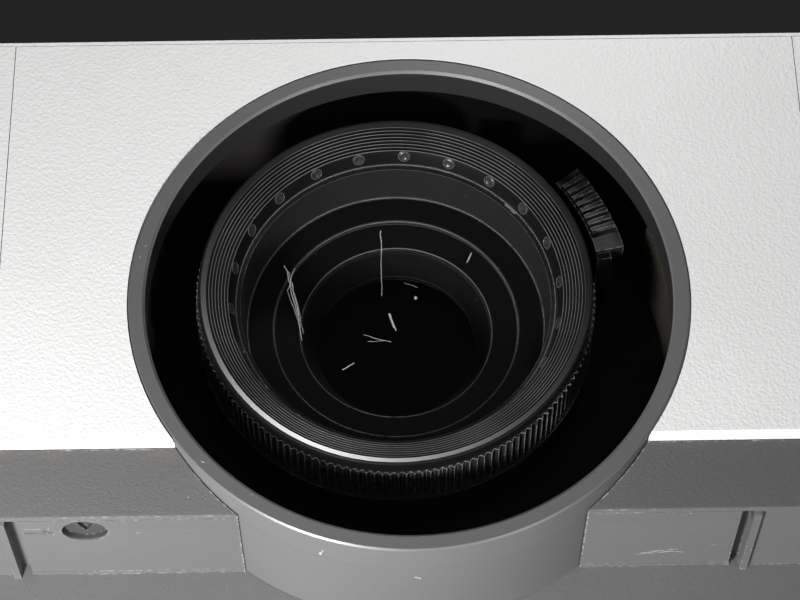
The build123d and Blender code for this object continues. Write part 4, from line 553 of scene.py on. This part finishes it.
for dimple in range(DIMPLES):
    turn = FIRST_TURN + 2 * math.pi * dimple / DIMPLES
    cup = lathe("dimple_%02d" % dimple, cup_profile, CUP_SIDES, x=0.0, z=0.0, front=0.0)
    cup.data.transform(
        Matrix.Translation((LENS_X + CUP_RADIUS * math.cos(turn), FRONT_Y + CUP_DEEP,
                            LENS_Z + CUP_RADIUS * math.sin(turn)))
        @ Matrix.Rotation(-turn, 4, "Y") @ Matrix.Rotation(CONE_TILT - math.pi / 2, 4, "Z"))
    finish_piece(cup, CUP, "lens_unit", 40.0)
retainer = lathe("glass_retaining_ring",
                 [(0.03655, 0.0128), (0.03655, 0.01240), (0.03648, 0.01234), (0.03632, 0.01234),
                  (0.03625, 0.01240), (0.03625, 0.0128)], RING_SIDES)
finish_piece(retainer, POLISHED, "lens_unit", 25.0)


# Lens: a turned barrel with a stepped, blackened bore that is painted darker still deep inside as
# painted shade, a knurled focus ring and a zoom ring whose ridged finger lever reaches forward
# beside it, all rubbed bright at their edges. The coated front glass is a meniscus with scratches,
# chips and specks on it, and with a painted glint and a painted reflection.

# Deeper than this the bore is painted darker still: painted shade.
SHADED_BORE_RADIUS, SHADED_BORE_DEEP, BORE_FRONT = 0.0344, 0.0235, 0.0132
BORE = moulding("blackened bore", grey(0.014), grey(0.010), grey(0.30), 0.85, (2200.0, 5200.0),
                (0.1, 0.5), wear=0.75, relief=0.00004, specks=0.05, scratch=0.05,
                reach=0.00013, level=0.10,
                shade_bores=[(LENS_X, LENS_Z, SHADED_BORE_RADIUS, FRONT_Y + SHADED_BORE_DEEP,
                       grey(0.0016))])
barrel = lathe("stepped_barrel", [
    (0.0420, RIM_BACK), (0.0420, 0.0335), (0.0360, 0.0335), (0.0360, 0.1180), (0.0240, 0.1180),
    (0.0240, 0.0950), (0.0220, 0.0950), (0.0220, 0.0460), (0.0260, 0.0440), (0.0260, 0.0360),
    (0.0187, 0.0360), (0.0187, 0.0346), (0.0193, 0.0340), (0.0220, 0.0290), (0.0220, 0.0280),
    (0.0225, 0.0275), (0.0282, 0.0261), (0.0282, 0.0255), (0.0287, 0.0251), (0.0342, 0.0244),
    (0.0346, 0.0240), (0.0354, BORE_FRONT), (0.0390, BORE_FRONT), (0.0390, RIM_BACK)], RIM_SIDES)
finish_piece(barrel, BORE, "lens_unit", 25.0)
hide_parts("lens_barrel")
EDGE_SHAPE = ((0.00008, 0.0), (0.0, -0.00012), (-0.00010, -0.00010), (-0.00013, 0.00006))
for name, radius, setback in (("bore_edge_outer", 0.03445, 0.02415),
                              ("bore_edge_middle", 0.02845, 0.02525),
                              ("bore_edge_inner", 0.02240, 0.02755)):
    edge = lathe(name, [(radius + outward, setback + back) for outward, back in EDGE_SHAPE],
                 GLASS_SIDES)
    finish_piece(edge, POLISHED, "lens_unit", 25.0)
KNURL = moulding("rubbed knurled metal", grey(0.016), grey(0.010), grey(0.42), 0.28,
                 (2200.0, 5200.0), (0.1, 0.5), wear=0.6, relief=0.00002, specks=0.01,
                 reach=0.0003, level=0.9)
dress(KNURL, "focus_ring")
LEVER = moulding("worn black lever plastic", grey(0.009), grey(0.006), grey(0.22), 0.42,
                 (1600.0, 4200.0), (0.2, 0.5), wear=0.55, relief=0.00005, specks=0.02,
                 reach=0.0004)
dress(LEVER, "zoom_ring")
dress(BLACK, "light_shield")


def glass(name, tint, veil, marks, specks):
    """Coated glass: it mirrors a little and shows what lies behind, except under its marks, which
    include a painted glint and a painted reflection.
    """
    speck_pitch, speck_cover, mark_cover, mark_rough, coated_ior = 700.0, 0.35, 0.48, 0.5, 4.0
    clear = bpy.data.materials.new(name)
    clear.use_nodes = True
    tree = clear.node_tree
    body = tree.nodes["Principled BSDF"]
    hurt = maths(tree, "MULTIPLY", group(tree, DUST, Share=specks, Pitch=speck_pitch),
                 speck_cover)
    for start, end, width, ragged in marks:
        hurt = maths(tree, "MAXIMUM", hurt, group(tree, STROKE, From=start, To=end, Width=width,
                                                  Ragged=ragged, Only=(1.0, 0.0, 1.0)))
    tree.links.new(mixed(tree, hurt, grey(0.003), grey(0.5, 0.02)), body.inputs["Base Color"])
    cover = maths(tree, "MULTIPLY", hurt, mark_cover)
    tree.links.new(maths(tree, "ADD", cover, veil, clamp=True), body.inputs["Alpha"])
    tree.links.new(maths(tree, "MULTIPLY", hurt, mark_rough), body.inputs["Roughness"])
    body.inputs["IOR"].default_value = coated_ior
    body.inputs["Specular Tint"].default_value = tint
    return clear


APEX_DEEP, GLASS_EDGE, MM = 0.0093, 0.0362, 1000
# Glass marks in millimetres from the bezel's centre: x, z to x, z, width and raggedness. The last
# two are painted light: a dash that is a painted reflection and a dot that is a painted glint.
glass_marks_and_glints = []
for x0, z0, x1, z1, width, ragged in (
        (-6.07, 21.61, -6.10, 15.0, 0.24, 0.75), (-6.10, 15.0, -6.15, 4.1, 0.14, 0.6),
        (-4.51, -0.55, -3.52, -3.9, 0.42, 0.4), (-3.6, -3.4, -3.0, -4.8, 0.25, 0.5),
        (-10.42, -5.67, -4.15, -7.44, 0.15, 0.68), (-9.6, -7.2, -5.5, -7.0, 0.13, 0.68),
        (-15.18, -14.03, -12.49, -12.45, 0.24, 0.66), (-27.66, 11.42, -24.15, -6.21, 0.20, 0.75),
        (-26.06, 12.4, -27.3, 7.0, 0.15, 0.65), (-27.2, 11.0, -25.0, 0.0, 0.16, 0.8),
        (-26.6, 8.4, -24.6, -3.0, 0.16, 0.8), (-27.5, 7.0, -25.4, -1.0, 0.14, 0.85),
        (-26.0, 6.0, -23.9, -4.6, 0.16, 0.85), (-28.3, 13.4, -27.2, 11.0, 0.16, 0.6),
        (13.6, 13.2, 14.6, 15.6, 0.45, 0.9), (-1.0, 7.4, 2.0, 6.2, 0.12, 0.85),
        (23.2, 29.5, 25.0, 27.4, 0.60, 0.1), (1.38, 3.60, 1.38, 3.46, 0.42, 0.0)):
    glass_marks_and_glints.append(((x0 / MM, 0.0, RING_Z + z0 / MM), (x1 / MM, 0.0, RING_Z + z1 / MM),
                        width / MM, ragged))
FRONT_GLASS = glass("coated front glass", (0.8, 1.0, 0.9, 1.0), 0.08, glass_marks_and_glints, 0.006)
INNER_GLASS = glass("coated inner glass", (1.0, 0.8, 0.85, 1.0), 0.06, (), 0.003)
GLASS_CURVE = (GLASS_EDGE ** 2 + (GLASS_DEEP - APEX_DEEP) ** 2) / (2 * (GLASS_DEEP - APEX_DEEP))


def meniscus(curve, apex, edge, radii):
    """Points of a bulging surface from its edge to the pole."""
    points = [(edge * r, apex + curve - math.sqrt(curve ** 2 - (edge * r) ** 2)) for r in radii]
    pole_radius = 0.000001
    return points + [(pole_radius, apex)]


FALL = (1.0, 0.94, 0.86, 0.76, 0.64, 0.5, 0.36, 0.22, 0.1, 0.03)
BACK_CURVE, BACK_APEX, BACK_EDGE, EDGE_BACK = 0.235, 0.0108, 0.0342, 0.0131
front_face = lathe("front_element", meniscus(GLASS_CURVE, APEX_DEEP, GLASS_EDGE, FALL),
                   GLASS_SIDES, closed=False)
back_face = lathe("back_face", [(GLASS_EDGE, GLASS_DEEP), (GLASS_EDGE, EDGE_BACK)]
                  + meniscus(BACK_CURVE, BACK_APEX, BACK_EDGE, FALL), GLASS_SIDES, closed=False)
bpy.ops.object.select_all(action="DESELECT")
for half, side in ((back_face, INNER_GLASS), (front_face, FRONT_GLASS)):
    half.data.materials.append(side)
    half.select_set(True)
bpy.context.view_layer.objects.active = front_face
bpy.ops.object.join()
bpy.ops.object.mode_set(mode="EDIT")
bpy.ops.mesh.select_all(action="SELECT")
bpy.ops.mesh.remove_doubles(threshold=MERGE_REACH)
bpy.ops.mesh.normals_make_consistent(inside=False)
bpy.ops.object.mode_set(mode="OBJECT")
bpy.ops.object.shade_smooth_by_angle(angle=math.radians(30.0))
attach(front_face, "lens_unit")
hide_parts("front_lens")
dress(INNER_GLASS, "inner_lenses")


# Lens shift: steel guide rods in a fixed portal, with die-cast frames that ride on them and
# carry the lens. The light engine behind is cast in the same alloy, and the case screws and
# the stems of the front feet are made of the same steel.

def metal(name, colour, roughness, along=(1.0, 1.0, 1.0)):
    """Bare metal with brushed or cast variation."""
    line_scale, line_rough, line_relief, edge_rub = 700.0, 0.2, 0.00002, 0.4
    darker, brighter = 0.8, 1.25
    bare = bpy.data.materials.new(name)
    bare.use_nodes = True
    tree = bare.node_tree
    body = tree.nodes["Principled BSDF"]
    body.inputs["Metallic"].default_value = 1.0
    stretched = shade(tree, "Mapping", {"Vector": place_of(tree), "Scale": along}).outputs[0]
    lines = noise(tree, stretched, line_scale, 3.0)
    dark = tuple(c * darker for c in colour[:3]) + (1.0,)
    worn = group(tree, EDGE_WEAR, Amount=edge_rub)
    bright = tuple(min(1.0, c * brighter) for c in colour[:3]) + (1.0,)
    tree.links.new(mixed(tree, worn, mixed(tree, lines, dark, colour), bright),
                   body.inputs["Base Color"])
    tree.links.new(maths(tree, "ADD", maths(tree, "MULTIPLY", lines, line_rough),
                         roughness - line_rough / 2), body.inputs["Roughness"])
    bump = shade(tree, "Bump", {"Height": lines, "Distance": line_relief})
    tree.links.new(bump.outputs[0], body.inputs["Normal"])
    return bare


STEEL = metal("ground steel", grey(0.62), 0.28, (1.0, 1.0, 0.1))
ZINC = metal("die-cast alloy", grey(0.42), 0.5)
dress(STEEL, "vertical_guide_rods", "horizontal_guide_rods", "case_screws", "foot_stem_left",
      "foot_stem_right")
dress(ZINC, "lens_mount_frame", "vertical_carriage", "horizontal_carriage", "optical_engine")


# Key panel: eight grey keys and three status lamps in a plate of the bezel's plastic, and an
# infrared window of dark red plastic, which looks black, in front and in the rear. Plain
# triangles and a ring with a stroke are printed in dark ink on the arrow and power keys.

def key_place(name):
    """Middle of a key's top face."""
    corners = [cad[name].matrix_world @ Vector(corner) for corner in cad[name].bound_box]
    middle = sum(corners, Vector()) / len(corners)
    return Vector((middle.x, middle.y, max(corner.z for corner in corners)))


INK_WIDTH, MARK_REACH, TRIANGLE_BACK = 0.00034, 0.0018, 0.6
ARC_START, ARC_TURN, ARC_POINTS, BAR_LENGTH = 0.7, 0.6, 9, 1.4
key_ink = []
for name in ("up_key", "down_key", "left_key", "right_key"):
    middle = key_place(name)
    out = middle - key_place("enter_key")
    out = Vector((out.x, out.y, 0.0)).normalized() * MARK_REACH
    aside = Vector((-out.y, out.x, 0.0))
    base = middle - out * TRIANGLE_BACK
    tip, one, other = middle + out, base + aside, base - aside
    for start, end in ((tip, one), (one, other), (other, tip)):
        key_ink.append((tuple(start), tuple(end), INK_WIDTH, 0.0))
hub = key_place("power_key")
arc = [hub + Vector((math.sin(turn), math.cos(turn), 0.0)) * MARK_REACH
       for turn in (ARC_START + ARC_TURN * step for step in range(ARC_POINTS))]
bar = (hub, hub + Vector((0.0, BAR_LENGTH, 0.0)) * MARK_REACH)
for start, end in list(zip(arc, arc[1:])) + [bar]:
    key_ink.append((tuple(start), tuple(end), INK_WIDTH, 0.0))
KEYS = moulding("grey key plastic", grey(0.42), grey(0.38), grey(0.04), 0.45, (1500.0, 4000.0),
                (0.1, 0.4), wear=0.0, scratch=0.0, relief=0.00005, marks=key_ink)
dress(KEYS, "enter_key", "up_key", "down_key", "left_key", "right_key", "power_key",
      "input_key", "menu_key")
LAMP_GREEN = moulding("status lamp plastic", (0.10, 0.42, 0.14, 1.0), (0.07, 0.34, 0.10, 1.0),
                      grey(0.6), 0.2, (1500.0, 4000.0), (0.05, 0.2), wear=0.1, specks=0.0)
dress(LAMP_GREEN, "status_lamps")
WINDOW = moulding("infrared window plastic", (0.035, 0.008, 0.010, 1.0),
                  (0.025, 0.006, 0.008, 1.0), grey(0.3), 0.08, (1500.0, 4000.0), (0.0, 0.05),
                  wear=0.1, specks=0.01, scratch=0.1)
dress(WINDOW, "ir_windows")


# Mains and sockets: plated steel cages over the supply and round the lamp, plated socket
# shells, a board of signal electronics and the lamp's driver.

SHEET = metal("plated sheet", (0.55, 0.56, 0.58, 1.0), 0.38)
dress(SHEET, "lamp_housing", "power_supply", "video_inputs", "control_ports")
CIRCUIT = moulding("circuit board", (0.03, 0.16, 0.08, 1.0), (0.02, 0.12, 0.06, 1.0), grey(0.5),
                   0.35, (400.0, 1800.0), (0.5, 0.3))
dress(CIRCUIT, "main_board", "lamp_ballast")


# Lamp cartridge: heat-resistant cream plastic that slides up out of its plated bay when the
# door above it stands open.

CERAMIC = moulding("heat-resistant lamp plastic", grey(0.7, 0.06), grey(0.62, 0.06), grey(0.5),
                   0.5, (900.0, 3000.0), (0.2, 0.5))
dress(CERAMIC, "lamp_module")


# Intake filter: a louvred cassette in the case's grey plastic, with a sheet of foam behind the
# louvres that has gathered dust.

dress(GREY_CASE, "filter_cassette")
foam("filter_sheet", "filter_foam", "filter_unit", 0.0012, 0.0003, FOAM)


# Fixings: turned brass inserts moulded into the underside for hanging the machine from a
# ceiling, and black rubber for the rear feet and for the pads of the two front adjusters.

BRASS = metal("turned brass", (0.72, 0.56, 0.28, 1.0), 0.32)
dress(BRASS, "ceiling_inserts")
RUBBER = moulding("black rubber", grey(0.03), grey(0.02), grey(0.12), 0.75, (900.0, 3000.0),
                  (0.3, 0.6))
dress(RUBBER, "rear_feet", "foot_pad_left", "foot_pad_right")


# Studio: a pale floor seen from above only, soft lights, and the camera where the photograph
# was taken from, under the lens axis and looking up at the front.

FLOOR_HALF, FLOOR_MOTTLE, FLOOR_ROUGH = 6.0, 3.0, 0.7
bpy.ops.mesh.primitive_plane_add(size=2 * FLOOR_HALF)
floor = bpy.context.object
floor.name = "studio_floor"
floor.visible_shadow = False
pale = bpy.data.materials.new("pale floor")
pale.use_nodes = True
tree = pale.node_tree
body = tree.nodes["Principled BSDF"]
tree.links.new(mixed(tree, noise(tree, place_of(tree), FLOOR_MOTTLE), grey(0.6), grey(0.64)),
               body.inputs["Base Color"])
body.inputs["Roughness"].default_value = FLOOR_ROUGH
under = shade(tree, "NewGeometry").outputs["Backfacing"]
unseen = shade(tree, "BsdfTransparent").outputs[0]
one_sided = shade(tree, "MixShader", {0: under, 1: body.outputs[0], 2: unseen})
tree.links.new(one_sided.outputs[0], tree.nodes["Material Output"].inputs["Surface"])
floor.data.materials.append(pale)


RING_CENTRE = Vector((0.0, FRONT_Y, RING_Z))


def soft_light(name, offset, size, power):
    """An area light at an offset from the ring's centre, turned to it."""
    lamp = bpy.data.lights.new(name, "AREA")
    lamp.size, lamp.energy = size, power
    holder = bpy.data.objects.new(name, lamp)
    bpy.context.scene.collection.objects.link(holder)
    holder.location = RING_CENTRE + Vector(offset)
    holder.rotation_euler = (-Vector(offset)).to_track_quat("-Z", "Y").to_euler()


soft_light("light from below left", (-0.154, -0.129, -0.287), 0.05, 2.6)
soft_light("light from below right", (0.739, -0.62, -1.149), 0.08, 6.0)
soft_light("light from above", (0.064, -0.176, 0.353), 0.05, 1.0)
soft_light("overhead", (0.4, 1.1, 1.6), 1.2, 14.0)

world = bpy.data.worlds.new("studio")
bpy.context.scene.world = world
world.use_nodes = True
tree = world.node_tree
background = tree.nodes["Background"]
seen = shade(tree, "LightPath").outputs["Is Camera Ray"]
tree.links.new(mixed(tree, seen, grey(0.015), grey(0.017)), background.inputs["Color"])

LENS_MM, SENSOR_MM, NEAREST, FARTHEST = 110.73, 36.0, 0.01, 50.0
PITCH, YAW, ROLL = 29.1306, 0.3612, -0.9786
CAMERA_PLACE = Vector((-0.0050436, -0.656877, -0.182466))
camera = bpy.data.objects.new("camera", bpy.data.cameras.new("camera"))
bpy.context.scene.collection.objects.link(camera)
camera.data.lens, camera.data.sensor_width = LENS_MM, SENSOR_MM
camera.data.clip_start, camera.data.clip_end = NEAREST, FARTHEST
pitch, yaw, roll = (math.radians(a) for a in (PITCH, YAW, ROLL))
ahead = Vector((math.sin(yaw) * math.cos(pitch), math.cos(yaw) * math.cos(pitch), math.sin(pitch)))
sideways = Vector((math.cos(yaw), -math.sin(yaw), 0.0))
over = sideways.cross(ahead)
across = math.cos(roll) * sideways + math.sin(roll) * over
upward = -math.sin(roll) * sideways + math.cos(roll) * over
camera.matrix_world = Matrix.Translation(CAMERA_PLACE) @ Matrix(
    (across, upward, -ahead)).transposed().to_4x4()
bpy.context.scene.camera = camera
bpy.context.scene.view_settings.view_transform = "Standard"
